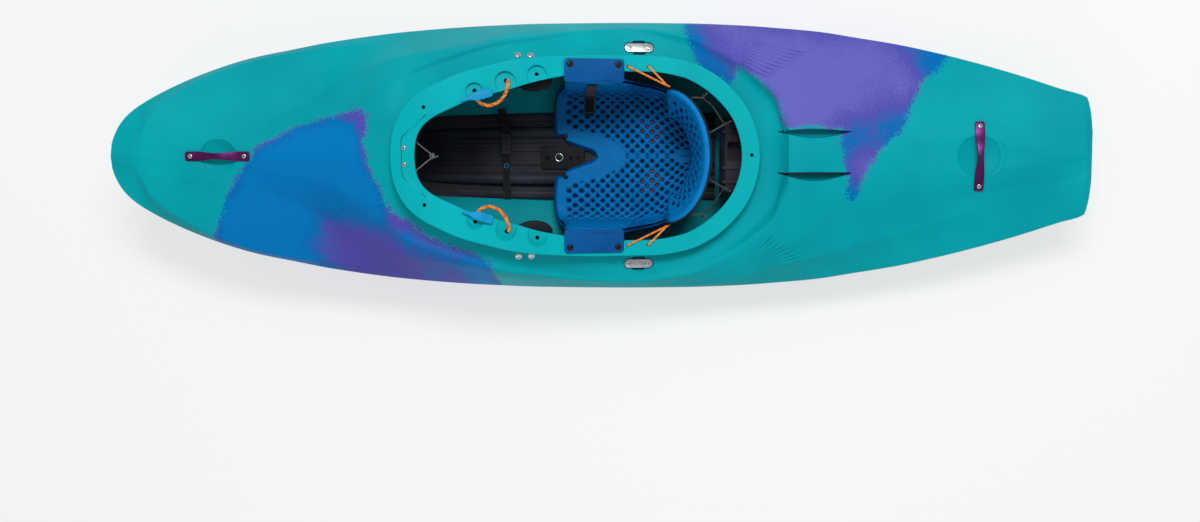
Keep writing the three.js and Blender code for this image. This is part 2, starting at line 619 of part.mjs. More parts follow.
// Security bars
barFrames.forEach((frame, k) => {
  const side = ['left', 'right'][k];
  const bar = prism(stadium(BAR_LENGTH, BAR_WIDTH), FIT_GAP - BAR_THICKNESS, FIT_GAP);
  keep(`security_bar_${side}`, moved(bar, frame), 'bright_steel');
  const out = vec(0, 0, 1).transformDirection(frame);
  for (const [end, sign] of [['front', -1], ['rear', 1]]) {
    const at = vec(sign * BAR_SCREW_PITCH / 2, 0, FIT_GAP).applyMatrix4(frame);
    fasten(`security_bar_screw_${side}_${end}`, at, out, BAR_SCREW_LENGTH, [`security_bar_${side}`, 'hull_shell'],
      { finish: 'bright_steel', sink: FIT_GAP });
  }
});

// Central rail that the seat stands on, and the blocks in front of and behind the paddler
const RAIL_FRONT_INSET = 60;
const RAIL_REAR_INSET = 112;
const RAIL_HALF_WIDTH = 104;
const RAIL_LEDGE_TOP = 22;
const RAIL_CORE_HALF_WIDTH = 43;
const RAIL_TOP = 40;
const BOW_BLOCK_GAP = 200;
const BOW_BLOCK_LENGTH = 340;
const BLOCK_HALF_WIDTH = 45;
const REAR_BLOCK_INSET = 102;
const REAR_STEP_LENGTH = 92;
const REAR_WALL_LENGTH = 248;
const REAR_STEP_TOP = 185;
const REAR_STEP_HALF_WIDTH = 98;

function centralPieces() {
  const floor = -HULL_WALL;
  const railFrontX = rimFrontX + RAIL_FRONT_INSET;
  const railRearX = rimRearX - RAIL_REAR_INSET;
  const ledge = box(vec(railFrontX, -RAIL_HALF_WIDTH, floor), vec(railRearX, RAIL_HALF_WIDTH, RAIL_LEDGE_TOP));
  const core = box(vec(railFrontX, -RAIL_CORE_HALF_WIDTH, floor), vec(railRearX, RAIL_CORE_HALF_WIDTH, RAIL_TOP));
  keep('seat_rail', ledge.add(core).intersect(fitSpace), 'hollow_moulding');
  const bowBlockX = rimFrontX - BOW_BLOCK_GAP;
  const front = box(vec(bowBlockX - BOW_BLOCK_LENGTH, -BLOCK_HALF_WIDTH, floor),
    vec(bowBlockX, BLOCK_HALF_WIDTH, HULL_HEIGHT));
  keep('front_pillar', front.intersect(fitSpace), 'black_foam');
  const stepX = rimRearX - REAR_BLOCK_INSET;
  const wallX = stepX + REAR_STEP_LENGTH;
  const step = box(vec(stepX, -REAR_STEP_HALF_WIDTH, floor), vec(wallX, REAR_STEP_HALF_WIDTH, REAR_STEP_TOP));
  const web = box(vec(wallX - PROBE, -BLOCK_HALF_WIDTH, floor),
    vec(wallX + REAR_WALL_LENGTH, BLOCK_HALF_WIDTH, REAR_STEP_TOP));
  const wall = box(vec(wallX, -BLOCK_HALF_WIDTH, floor),
    vec(wallX + REAR_WALL_LENGTH, BLOCK_HALF_WIDTH, HULL_HEIGHT));
  keep('rear_pillar', step.add(web).add(wall).intersect(fitSpace), 'hollow_moulding');
}

centralPieces();

// Seat: a thin moulded shell with a foam pad, hung from the rim by a plate on each side
const SEAT_FROM_RIM_REAR = 152;
const SEAT_LENGTH = 368;
const SEAT_FROM_RIM_SIDE = 58;
const SEAT_FLOOR_HALF_WIDTH = 120;
const SEAT_SHELL = 4;
const SEAT_PAD = 8;
const SEAT_SCREW_LENGTH = 18;
const HANGER_SCREW_LENGTH = 16;
const SEAT_NOTCH_DEPTH = 88;
const SEAT_NOTCH_HALF_WIDTH = 44;
const NOTCH_TIP_RADIUS = 8;
const HANGER_SETBACK = 42;
const HANGER_LENGTH = 143;
const HANGER_FROM_RIM_SIDE = 9;
const HANGER_THICKNESS = 6;
const HANGER_LEG = 4;
const HANGER_DROP = 70;
const STRAP_WIDTH = 24;
const STRAP_THICKNESS = 2;
const STRAP_SETBACK = 78;
const SEAT_TAB_HEIGHT = 52;
const SEAT_TAB_HALF_WIDTH = 32;
const SEAT_CURVE_SHARE = 1.6;
const SEAT_REAR_X = rimRearX - SEAT_FROM_RIM_REAR;
const SEAT_FRONT_X = SEAT_REAR_X - SEAT_LENGTH;
const SEAT_HALF_WIDTH = RIM_WIDTH / 2 - SEAT_FROM_RIM_SIDE;
const HANGER_FRONT_X = SEAT_FRONT_X + HANGER_SETBACK;
const HANGER_REAR_X = HANGER_FRONT_X + HANGER_LENGTH;
const HANGER_OUTER = RIM_WIDTH / 2 - HANGER_FROM_RIM_SIDE;
const STRAP_FRONT_X = SEAT_FRONT_X + STRAP_SETBACK;
const SEAT_FLOOR = RAIL_TOP + FIT_GAP;

// Height of the seat's side walls: along is a share of the seat's length, up a share of their most
const seatSideShares = [
  [0, 0.42], [0.06, 0.72], [0.115, 1], [0.3, 0.96], [0.5, 0.86], [0.56, 0.62], [0.63, 0.38], [0.75, 0.3],
  [1, 0.25],
];
const seatCurveShares = [[0, 0], [0.35, 0.02], [0.65, 0.12], [0.85, 0.32], [1, 1]];

const seatStations = [0, 0.05, 0.115, 0.3, 0.5, 0.56, 0.63, 0.75, 1];

function stationPath(share) {
  const most = rimTop(HANGER_FRONT_X) - RIM_PLATE - SEAT_FLOOR;
  const top = most * valueAt(seatSideShares, share);
  const curveMost = Math.min(top, (SEAT_HALF_WIDTH - SEAT_FLOOR_HALF_WIDTH) * SEAT_CURVE_SHARE);
  const side = seatCurveShares.map(([out, up]) => [
    mix(SEAT_FLOOR_HALF_WIDTH, SEAT_HALF_WIDTH, out),
    SEAT_FLOOR + (out < 1 ? up * curveMost : top),
  ]);
  return [...side.slice().reverse().map(([y, z]) => [-y, z]), ...side];
}

// Open path moved to its left by a distance
function offsetPath(path, distance) {
  return path.map((point, i) => {
    const before = path[Math.max(i - 1, 0)];
    const after = path[Math.min(i + 1, path.length - 1)];
    const first = new THREE.Vector2(point[0] - before[0], point[1] - before[1]);
    const second = new THREE.Vector2(after[0] - point[0], after[1] - point[1]);
    if (i === 0) first.copy(second);
    if (i === path.length - 1) second.copy(first);
    first.normalize();
    second.normalize();
    const left = new THREE.Vector2(-first.y - second.y, first.x + second.x).normalize();
    const stretch = 1 / Math.max(0.5, left.dot(new THREE.Vector2(-first.y, first.x)));
    return [point[0] + left.x * distance * stretch, point[1] + left.y * distance * stretch];
  });
}

// Layer of the seat between two distances from its outer face, cut to length and below its side walls.
// The order of the two distances sets which way the facets are split, so that two layers nest.
function seatLayer(from, to, fromX, toX, trim) {
  const places = seatStations.map((share) => ({ x: mix(SEAT_FRONT_X, SEAT_REAR_X, share), path: stationPath(share) }));
  const layer = loft(places.map(({ x, path }) => {
    const ring = [...offsetPath(path, from), ...offsetPath(path, to).reverse()];
    return ring.map(([y, z]) => vec(x, y, z));
  }));
  if (trim === 0) return layer;
  const tops = places.map(({ x, path }) => [x, path[0][1] - trim]);
  const window = crossPrism([[SEAT_FRONT_X, 0], [SEAT_REAR_X, 0], ...tops.reverse()], -HULL_BEAM, HULL_BEAM);
  return layer.intersect(window).intersect(box(vec(fromX, -HULL_BEAM, 0), vec(toX, HULL_BEAM, HULL_HEIGHT)));
}

function seatPieces() {
  const padInset = 5;
  const apexX = SEAT_FRONT_X + SEAT_NOTCH_DEPTH;
  const flareX = SEAT_FRONT_X - PROBE;
  const roundX = apexX - 2 * NOTCH_TIP_RADIUS;
  const notch = (grow) => prism([[flareX, -SEAT_NOTCH_HALF_WIDTH - grow], [roundX, -NOTCH_TIP_RADIUS - grow],
    [apexX + grow, -NOTCH_TIP_RADIUS / 2], [apexX + grow, NOTCH_TIP_RADIUS / 2], [roundX, NOTCH_TIP_RADIUS + grow],
    [flareX, SEAT_NOTCH_HALF_WIDTH + grow]], 0, HULL_HEIGHT);
  const tab = box(vec(SEAT_REAR_X, -SEAT_TAB_HALF_WIDTH, SEAT_FLOOR),
    vec(SEAT_REAR_X + SEAT_SHELL, SEAT_TAB_HALF_WIDTH, SEAT_FLOOR + SEAT_TAB_HEIGHT));
  const shell = seatLayer(0, SEAT_SHELL, SEAT_FRONT_X, SEAT_REAR_X, 0).subtract(notch(0));
  keep('seat_shell', shell.add(tab), 'seat_plastic');
  const pad = seatLayer(SEAT_SHELL + SEAT_PAD, SEAT_SHELL + FIT_GAP, SEAT_FRONT_X + padInset,
    SEAT_REAR_X - padInset, padInset);
  keep('seat_pad', pad.subtract(notch(padInset)), 'seat_foam');
  const strapFrom = SEAT_SHELL + SEAT_PAD + FIT_GAP;
  const strap = seatLayer(strapFrom, strapFrom + STRAP_THICKNESS, STRAP_FRONT_X, STRAP_FRONT_X + STRAP_WIDTH,
    3 * padInset);
  const strapFoot = SEAT_FLOOR_HALF_WIDTH - STRAP_WIDTH;
  keep('hip_strap', strap.intersect(box(vec(-HULL_LENGTH, strapFoot, 0), vec(HULL_LENGTH, HULL_BEAM, HULL_HEIGHT))),
    'black_webbing');
  [-1, 1].forEach((side, k) => {
    const name = `seat_hanger_${['left', 'right'][k]}`;
    const steps = 5;
    const inner = SEAT_HALF_WIDTH + FIT_GAP;
    const rings = Array.from({ length: steps + 1 }, (_, i) => {
      const x = mix(HANGER_FRONT_X, HANGER_REAR_X, i / steps);
      const low = rimTop(x) + FIT_GAP;
      const outline = [[inner, low - HANGER_DROP], [inner + HANGER_LEG, low - HANGER_DROP],
        [inner + HANGER_LEG, low], [HANGER_OUTER, low], [HANGER_OUTER, low + HANGER_THICKNESS],
        [inner, low + HANGER_THICKNESS]];
      return outline.map(([y, z]) => vec(x, side * y, z));
    });
    const lifted = coamingRing().translate([0, 0, FIT_GAP]);
    keep(name, loft(rings).subtract(lifted), 'seat_plastic');
    const screwInset = 14;
    for (const [end, x] of [['front', HANGER_FRONT_X + screwInset], ['rear', HANGER_REAR_X - screwInset]]) {
      const slope = (rimTop(x + PROBE) - rimTop(x - PROBE)) / (2 * PROBE);
      const at = vec(x, side * (HANGER_OUTER - screwInset), rimTop(x) + FIT_GAP + HANGER_THICKNESS);
      fasten(`hanger_screw_${['left', 'right'][k]}_${end}`, at, vec(-slope, 0, 1).normalize(),
        HANGER_SCREW_LENGTH, [name, 'hull_shell']);
    }
  });
  const padTop = SEAT_FLOOR + SEAT_SHELL + SEAT_PAD;
  const frontScrewOffset = 52;
  const rearScrewOffset = 13;
  const places = [
    ['front_left', SEAT_FRONT_X + 4 * padInset, -frontScrewOffset],
    ['front_right', SEAT_FRONT_X + 4 * padInset, frontScrewOffset],
    ['rear_left', SEAT_REAR_X - 4 * padInset, -rearScrewOffset],
    ['rear_right', SEAT_REAR_X - 4 * padInset, rearScrewOffset],
  ];
  for (const [place, x, y] of places) {
    fasten(`seat_screw_${place}`, vec(x, y, padTop), vec(0, 0, 1), SEAT_SCREW_LENGTH,
      ['seat_pad', 'seat_shell', 'seat_rail']);
  }
}

seatPieces();

// Backrest: a curved band with a tongue down to its pivot behind the seat
const BACK_FROM_SEAT_SIDE = 19;
const BACK_DEPTH = 116;
const BACK_FROM_RIM_REAR = 118;
const BACK_HALF_WIDTH = SEAT_HALF_WIDTH - BACK_FROM_SEAT_SIDE;
const BACK_REAR_X = rimRearX - BACK_FROM_RIM_REAR;
const BACK_END_X = BACK_REAR_X - BACK_DEPTH;
const BACK_SHELL = 4;
const BACK_PAD = 18;
const BACK_BOTTOM = 196;
const BACK_TOP = 345;
const BACK_TOP_DROP = 58;
const TONGUE_HALF_WIDTH = 30;
const TONGUE_BARREL = 5;
const BACK_PIVOT_X = SEAT_REAR_X + SEAT_SHELL + TONGUE_BARREL + FIT_GAP;
const BACK_PIVOT_Z = SEAT_FLOOR + SEAT_TAB_HEIGHT - TONGUE_BARREL;

const backTop = (a) => {
  const flatShare = 0.5;
  const t = Math.max(0, (Math.abs(a) - flatShare) / (1 - flatShare));
  return BACK_TOP - BACK_TOP_DROP * t * t;
};

// Place on the band: a runs from -1 at the left end to 1 at the right, inset is from its back
function backPoint(a, inset) {
  const turn = (a * Math.PI) / 2;
  return [BACK_END_X + (BACK_DEPTH - inset) * Math.cos(turn), (BACK_HALF_WIDTH - inset) * Math.sin(turn)];
}

function backLayer(from, to, endShare, rounding) {
  const steps = 18;
  const middleShare = 0.6;
  const rings = Array.from({ length: steps + 1 }, (_, i) => {
    const a = mix(-1, 1, i / steps);
    const high = backTop(a) - rounding / 2;
    const low = BACK_BOTTOM + rounding / 2;
    const inner = [[from, low], [from, high], [mix(from, to, middleShare), high], [to, high - rounding],
      [to, low + rounding], [mix(from, to, middleShare), low]];
    return inner.map(([inset, z]) => {
      const [x, y] = backPoint(a, inset);
      return vec(x, y, z);
    });
  });
  for (const [end, next] of [[0, 1], [steps, steps - 1]]) {
    rings[end] = rings[end].map((p, k) => p.clone().lerp(rings[next][k], endShare));
  }
  return loft(rings);
}

function backrestPieces() {
  const shell = backLayer(0, BACK_SHELL, 0, FIT_GAP);
  const sides = 12;
  const barrel = turned([[0, -TONGUE_HALF_WIDTH], [TONGUE_BARREL, -TONGUE_HALF_WIDTH],
    [TONGUE_BARREL, TONGUE_HALF_WIDTH], [0, TONGUE_HALF_WIDTH]], vec(BACK_PIVOT_X, 0, BACK_PIVOT_Z),
  vec(0, 1, 0), sides);
  const topX = BACK_REAR_X - BACK_SHELL;
  const tongue = crossPrism([[BACK_PIVOT_X, BACK_PIVOT_Z], [BACK_PIVOT_X + BACK_SHELL, BACK_PIVOT_Z],
    [topX + BACK_SHELL / 2, BACK_BOTTOM + PROBE], [topX - BACK_SHELL / 2, BACK_BOTTOM + PROBE]],
  -TONGUE_HALF_WIDTH / 2, TONGUE_HALF_WIDTH / 2);
  keep('backrest_shell', shell.add(barrel).add(tongue), 'black_plastic');
  const padEndShare = 0.3;
  const pad = backLayer(BACK_SHELL + FIT_GAP, BACK_SHELL + BACK_PAD, padEndShare, BACK_PAD / 3);
  const relief = crossPrism([[BACK_PIVOT_X - BACK_SHELL, BACK_PIVOT_Z], [BACK_REAR_X, BACK_PIVOT_Z],
    [BACK_REAR_X, BACK_BOTTOM + 2 * PROBE], [topX - 2 * BACK_SHELL, BACK_BOTTOM + 2 * PROBE]],
  -TONGUE_HALF_WIDTH / 2 - FIT_GAP, TONGUE_HALF_WIDTH / 2 + FIT_GAP);
  keep('backrest_pad', pad.subtract(relief), 'seat_foam');
}

backrestPieces();

// Cords between the rim and the backrest
const TENSION_CORD = 5;
const BUNGEE = 4;

function rimPoint(x, fromEdge, side, above) {
  const share = rimShareAtX(x);
  const out = (RIM_WIDTH / 2) * valueAt(rimOutShares, share) - flangeAt(share) + fromEdge;
  return vec(x, side * out, rimTop(x) + above);
}

const CORD_HOLES_FROM_HANGER = [9, 59];
const CORD_HOLE_INSET = 9;
const REAR_BUNGEE_STEPS = [24, 27];
const REAR_BUNGEE_SPREAD_SHARE = 0.38;
const REAR_BUNGEE_REST_SHARE = 0.36;
const REAR_BUNGEE_BELOW_TOP = 16;

// Place beside the inner edge of the rim's flange, at one of the outline's steps
function rimSpot(step, side, fromEdge, above) {
  const p = rim[step];
  const inset = flangeAt(p.share) - fromEdge;
  const x = p.x + p.inward.x * inset;
  return vec(x, side * (p.y + p.inward.y * inset), rimTop(x) + above);
}

function cordPieces() {
  const clear = TENSION_CORD / 2 + FIT_GAP;
  [-1, 1].forEach((side, k) => {
    const label = ['left', 'right'][k];
    const [first, second] = CORD_HOLES_FROM_HANGER.map((along) => HANGER_REAR_X + along);
    const eyeY = side * (BACK_HALF_WIDTH - TENSION_CORD);
    const eyeZ = backTop(1) - 3 * TENSION_CORD;
    const eyeX = BACK_END_X - clear;
    const over = (x, fromEdge) => rimPoint(x, fromEdge, side, clear);
    const route = [
      over(first, CORD_HOLE_INSET), over(first + 2 * TENSION_CORD, 0), over(first + 4 * TENSION_CORD, -CORD_HOLE_INSET),
      vec(eyeX - 2 * TENSION_CORD, eyeY + side * TENSION_CORD, eyeZ + 2 * TENSION_CORD),
      vec(eyeX - TENSION_CORD / 2, eyeY, eyeZ + TENSION_CORD),
      vec(eyeX, eyeY, eyeZ),
      vec(eyeX - TENSION_CORD / 2, eyeY, eyeZ - TENSION_CORD),
      vec(eyeX - 2 * TENSION_CORD, eyeY + side * TENSION_CORD, eyeZ - TENSION_CORD),
      vec(second + 2 * TENSION_CORD, eyeY + side * 4 * TENSION_CORD, rimTop(second) - RIM_PLATE - clear),
      vec(second + TENSION_CORD, eyeY + side * 5 * TENSION_CORD, rimTop(second) - RIM_PLATE - clear),
    ];
    keep(`backrest_cord_${label}`, tube(route, TENSION_CORD / 2, 6), 'orange_cord');

    const near = BUNGEE / 2 + FIT_GAP;
    const [backX, backY] = backPoint(side * REAR_BUNGEE_SPREAD_SHARE, -near);
    const [restX, restY] = backPoint(side * REAR_BUNGEE_REST_SHARE, -near);
    const backZ = BACK_TOP - REAR_BUNGEE_BELOW_TOP;
    const spots = REAR_BUNGEE_STEPS.map((step) => [
      rimSpot(step, side, BUNGEE, near), rimSpot(step, side, -BUNGEE, near),
    ]);
    const bungee = [spots[0][0], spots[0][1], vec(backX, backY, backZ), vec(restX, restY, backZ), spots[1][1],
      spots[1][0]];
    keep(`rear_bungee_${label}`, tube(bungee, BUNGEE / 2, 6), 'black_webbing');
  });
}

cordPieces();

// Webbing strap round the central rail, with its buckle, and the bungee at the front of the cockpit
const FRONT_STRAP_AHEAD = 120;
const FRONT_STRAP_X = SEAT_FRONT_X - FRONT_STRAP_AHEAD;
const FRONT_STRAP_WIDTH = 20;
const FRONT_STRAP_THICKNESS = 1.6;
const BUCKLE_LENGTH = 54;
const BUCKLE_WIDTH = 30;
const BUCKLE_HEIGHT = 12;
const FRONT_BUNGEE = 3;
const FRONT_BUNGEE_REACH = 40;
const FRONT_BUNGEE_DROP = 42;

function frontPieces() {
  const ledge = RAIL_LEDGE_TOP + FIT_GAP;
  const top = RAIL_TOP + FIT_GAP;
  const slope = RAIL_TOP - RAIL_LEDGE_TOP;
  const path = [[-RAIL_HALF_WIDTH + PROBE, ledge], [-RAIL_CORE_HALF_WIDTH - slope, ledge],
    [-RAIL_CORE_HALF_WIDTH - FIT_GAP, top], [RAIL_CORE_HALF_WIDTH + FIT_GAP, top],
    [RAIL_CORE_HALF_WIDTH + slope, ledge], [RAIL_HALF_WIDTH - PROBE, ledge]];
  const outline = [...path, ...offsetPath(path, FRONT_STRAP_THICKNESS).reverse()];
  const half = FRONT_STRAP_WIDTH / 2;
  keep('front_strap', loft([-half, half].map((dx) => outline.map(([y, z]) => vec(FRONT_STRAP_X + dx, y, z)))),
    'black_webbing');
  const base = top + FRONT_STRAP_THICKNESS + FIT_GAP;
  const bevel = BUCKLE_HEIGHT / 3;
  const ring = (inset, z) => [[-1, -1], [1, -1], [1, 1], [-1, 1]].flatMap(([i, j]) => {
    const x = FRONT_STRAP_X + i * (BUCKLE_WIDTH / 2 - inset);
    const y = BUCKLE_WIDTH / 2 + j * (BUCKLE_LENGTH / 2 - inset);
    const corner = [vec(x - i * bevel, y, z), vec(x, y - j * bevel, z)];
    return i * j > 0 ? corner.reverse() : corner;
  });
  keep('strap_buckle', loft([ring(bevel / 4, base), ring(0, base + bevel), ring(0, base + 2 * bevel),
    ring(bevel, base + BUCKLE_HEIGHT)]), 'black_plastic');

  const under = -RIM_PLATE - FRONT_BUNGEE / 2 - FIT_GAP;
  const starboard = rimSpot(1, 1, FRONT_BUNGEE, under);
  const port = rimSpot(1, -1, FRONT_BUNGEE, under);
  const tip = vec(starboard.x + FRONT_BUNGEE_REACH, 0, starboard.z - FRONT_BUNGEE_DROP);
  const bend = 3 * FRONT_BUNGEE;
  const slack = (side) => [
    tip.clone().add(vec(-bend / 3, (side * bend) / 2, 0)),
    tip.clone().add(vec(-bend, side * bend, bend / 3)),
  ];
  const route = [starboard, ...slack(1).reverse(), tip, ...slack(-1), port];
  const steps = 24;
  const sides = 6;
  keep('front_bungee', tube(smoothRoute(route, steps), FRONT_BUNGEE / 2, sides), 'black_webbing');
}

frontPieces();

// Footrest: a plate with a foam face that slides on a rail along each side of the hull
const FOOT_RAIL_AHEAD = 210;
const FOOT_RAIL_LENGTH = 260;
const FOOT_RAIL_FROM_SIDE = 118;
const FOOT_RAIL_FRONT_X = rimFrontX - FOOT_RAIL_AHEAD;
const FOOT_RAIL_REAR_X = FOOT_RAIL_FRONT_X + FOOT_RAIL_LENGTH;
const FOOT_RAIL_INNER = HULL_BEAM / 2 - FOOT_RAIL_FROM_SIDE;
const FOOT_RAIL_LOW = 132;
const FOOT_RAIL_HIGH = 168;
const FOOT_PLATE_X = (FOOT_RAIL_FRONT_X + FOOT_RAIL_REAR_X) / 2;
const FOOT_PLATE_THICKNESS = 8;
const FOOT_SHOE_LENGTH = 44;
const FOOT_SHOE_THICKNESS = 9;
const FOOT_SHOE_REACH = 14;
const FOOT_FOAM = 20;
const FOOT_BOLT_SETBACKS = [110, 185];
const FOOT_BOLT_RISE = 1;
const FOOT_BOLT_Z = (FOOT_RAIL_LOW + FOOT_RAIL_HIGH) / 2 + FOOT_BOLT_RISE;
const FOOT_BOLT_LENGTH = 26;
const FOOT_BOLT_HEAD = 9;
const FOOT_BOLT_HEAD_HEIGHT = 4;

// Half outline of the plate, as shares of the rails' inner distance and of the plate's height
const footPlateShares = [[0, 0], [0.74, 0], [0.92, 0.14], [0.92, 0.62], [0.7, 0.86], [0.3, 1], [0, 1]];
const FOOT_PLATE_LOW = 84;
const FOOT_PLATE_HEIGHT = 205;

function footPlateOutline(shrink) {
  const middle = FOOT_PLATE_LOW + FOOT_PLATE_HEIGHT / 2;
  const half = footPlateShares.map(([out, up]) => [
    FOOT_RAIL_INNER * out * shrink,
    middle + (FOOT_PLATE_LOW + FOOT_PLATE_HEIGHT * up - middle) * shrink,
  ]);
  return [...half.slice(0, -1), ...half.slice(1).reverse().map(([y, z]) => [-y, z])];
}

const acrossPrism = (outline, low, high) => loft([low, high].map((x) => outline.map(([y, z]) => vec(x, y, z))));

function footPieces() {
  const foamShare = 0.9;
  let plate = acrossPrism(footPlateOutline(1), FOOT_PLATE_X - FOOT_PLATE_THICKNESS / 2,
    FOOT_PLATE_X + FOOT_PLATE_THICKNESS / 2);
  [-1, 1].forEach((side, k) => {
    const label = ['left', 'right'][k];
    const rail = box(vec(FOOT_RAIL_FRONT_X, Math.min(side * FOOT_RAIL_INNER, side * HULL_BEAM), FOOT_RAIL_LOW),
      vec(FOOT_RAIL_REAR_X, Math.max(side * FOOT_RAIL_INNER, side * HULL_BEAM), FOOT_RAIL_HIGH));
    keep(`footrest_rail_${label}`, rail.intersect(fitSpace), 'black_plastic');
    const inner = side * (FOOT_RAIL_INNER - FOOT_SHOE_REACH - FOOT_SHOE_THICKNESS);
    const outer = side * (FOOT_RAIL_INNER + FOOT_SHOE_REACH);
    const shoe = box(vec(FOOT_PLATE_X - FOOT_SHOE_LENGTH / 2, Math.min(inner, outer), FOOT_RAIL_HIGH + FIT_GAP),
      vec(FOOT_PLATE_X + FOOT_SHOE_LENGTH / 2, Math.max(inner, outer),
        FOOT_RAIL_HIGH + FIT_GAP + FOOT_SHOE_THICKNESS));
    plate = plate.add(shoe);
    FOOT_BOLT_SETBACKS.forEach((back, n) => {
      const x = FOOT_RAIL_FRONT_X + back;
      const at = vec(x, side * sideWidth(x, FOOT_BOLT_Z), FOOT_BOLT_Z);
      fasten(`footrest_bolt_${label}_${['front', 'rear'][n]}`, at, sideNormal(x, FOOT_BOLT_Z, side),
        FOOT_BOLT_LENGTH, ['hull_shell', `footrest_rail_${label}`],
        { finish: 'bright_steel', head: FOOT_BOLT_HEAD, rise: FOOT_BOLT_HEAD_HEIGHT });
    });
  });
  keep('footrest_plate', plate, 'alloy_plate');
  const face = FOOT_PLATE_X + FOOT_PLATE_THICKNESS / 2 + FIT_GAP;
  const foam = acrossPrism(footPlateOutline(foamShare), face, face + FOOT_FOAM);
  const shoes = box(vec(FOOT_PLATE_X, -HULL_BEAM, FOOT_RAIL_HIGH - FIT_GAP),
    vec(FOOT_PLATE_X + FOOT_SHOE_LENGTH, HULL_BEAM, FOOT_RAIL_HIGH + FOOT_SHOE_THICKNESS + 3 * FIT_GAP))
    .subtract(box(vec(-HULL_LENGTH, -FOOT_RAIL_INNER + FOOT_SHOE_REACH + 2 * FOOT_SHOE_THICKNESS, 0),
      vec(HULL_LENGTH, FOOT_RAIL_INNER - FOOT_SHOE_REACH - 2 * FOOT_SHOE_THICKNESS, HULL_HEIGHT)));
  keep('footrest_foam', foam.subtract(shoes), 'black_foam');
}

footPieces();

// Thigh braces: blades under the deck beside the rim, carried by two bolts through each slot
const BRACE_AHEAD = 59;
const BRACE_X = SEAT_FRONT_X - BRACE_AHEAD;
const BRACE_OFFSET = RIM_WIDTH / 2;
const BRACE_BOLT_PITCH = 32;
const BRACE_TRAVEL = 15;
const BRACE_LENGTH = 104;
const BRACE_THICKNESS = 5;
const BRACE_DROP = 12;
const BRACE_OUTER = 15;
const BRACE_INNER = 96;
const BRACE_CURL = 26;
const BRACE_BOLT_HEAD = 7;
const BRACE_NUT = 8;
const BRACE_NUT_THICKNESS = 5;
const BRACE_BOLT_SINK = 2;

// Blade from its outer edge to its inner one: share of the way in, of the curl down and of the length
const braceShares = [[0, 0, 0.86], [0.16, 0, 1], [0.42, 0, 1], [0.62, 0.3, 0.9], [0.82, 0.62, 0.7], [1, 1, 0.5]];

function thighBraces() {
  const top = -HULL_WALL - BRACE_DROP;
  const slotHalf = SCREW_SHANK_RADIUS + HOLE_CLEARANCE;
  [-1, 1].forEach((side, k) => {
    const label = ['left', 'right'][k];
    const slope = (deckHeight(BRACE_X + 4 * PROBE, BRACE_OFFSET) - deckHeight(BRACE_X - 4 * PROBE, BRACE_OFFSET))
      / (8 * PROBE);
    const frame = frameAt(vec(BRACE_X, side * BRACE_OFFSET, deckHeight(BRACE_X, BRACE_OFFSET)), vec(1, 0, slope),
      deckNormal(BRACE_X, side * BRACE_OFFSET));
    const half = BRACE_LENGTH / 2;
    const rings = braceShares.map(([along, curl, wide]) => {
      const y = -side * mix(-BRACE_OUTER, BRACE_INNER, along);
      const z = top - BRACE_CURL * curl;
      return [vec(-half * wide, y, z - BRACE_THICKNESS), vec(half * wide, y, z - BRACE_THICKNESS),
        vec(half * wide, y, z), vec(-half * wide, y, z)];
    });
    const slot = prism(stadium(BRACE_BOLT_PITCH + 2 * BRACE_TRAVEL + 3 * slotHalf, 2 * slotHalf),
      2 * top, 0);
    keep(`thigh_brace_${label}`, moved(loft(rings).subtract(slot), frame), 'black_plastic');
    const out = vec(0, 0, 1).transformDirection(frame);
    const length = BRACE_DROP + HULL_WALL + BRACE_THICKNESS + FIT_GAP + BRACE_NUT_THICKNESS;
    [-1, 1].forEach((end, n) => {
      const at = vec(end * BRACE_BOLT_PITCH / 2, 0, 0).applyMatrix4(frame);
      fasten(`brace_bolt_${label}_${['front', 'rear'][n]}`, at, out, length, ['hull_shell'],
        { finish: 'bright_steel', head: BRACE_BOLT_HEAD, nut: BRACE_NUT, nutThick: BRACE_NUT_THICKNESS,
          sink: BRACE_BOLT_SINK });
    });
  });
}

thighBraces();

// Screws at the front of the rim
const RIM_SCREW_FROM_FRONT = 36;
const RIM_SCREW_OFFSET = 20;
const RIM_SCREW_LENGTH = 14;
[-1, 1].forEach((side, k) => {
  const x = rimFrontX + RIM_SCREW_FROM_FRONT;
  fasten(`rim_screw_${['left', 'right'][k]}`, vec(x, side * RIM_SCREW_OFFSET, rimTop(x)), vec(0, 0, 1),
    RIM_SCREW_LENGTH, ['hull_shell'], { finish: 'bright_steel' });
});

// Pull cords with their tabs, hanging inside the rim
const PULL_CORD = 9;
const TAB_LENGTH = 77;
const TAB_WIDTH = 22;
const TAB_THICKNESS = 7;
const TAB_SETBACK = 96;
const TAB_FROM_EDGE = 16;
const TAB_CLEARANCE = 5;

// Route of a cord in its own diameters: aft of the middle of its scallop, out from the rim's inner edge
// and up from the rim's top
const pullRouteShares = [
  [2, 2.4, 0.12], [2.75, 0.5, 0.16], [1.5, -0.75, -0.1], [0.4, -2.3, -1.3], [-3.3, -2.1, -1.7], [-5.6, -1.2, -1],
  [-6.2, -0.7, 0], [-6.45, 0.05, 0.3],
];
const pullHoleShare = 0.275;

// Outline of a tab from its bow end, as shares of its length, its width and its thickness
const tabShares = [[0, 0.3, 0.7], [0.1, 0.62, 0.9], [0.3, 0.66, 1], [0.42, 1, 1], [0.94, 1, 1], [1, 0.8, 0.8]];

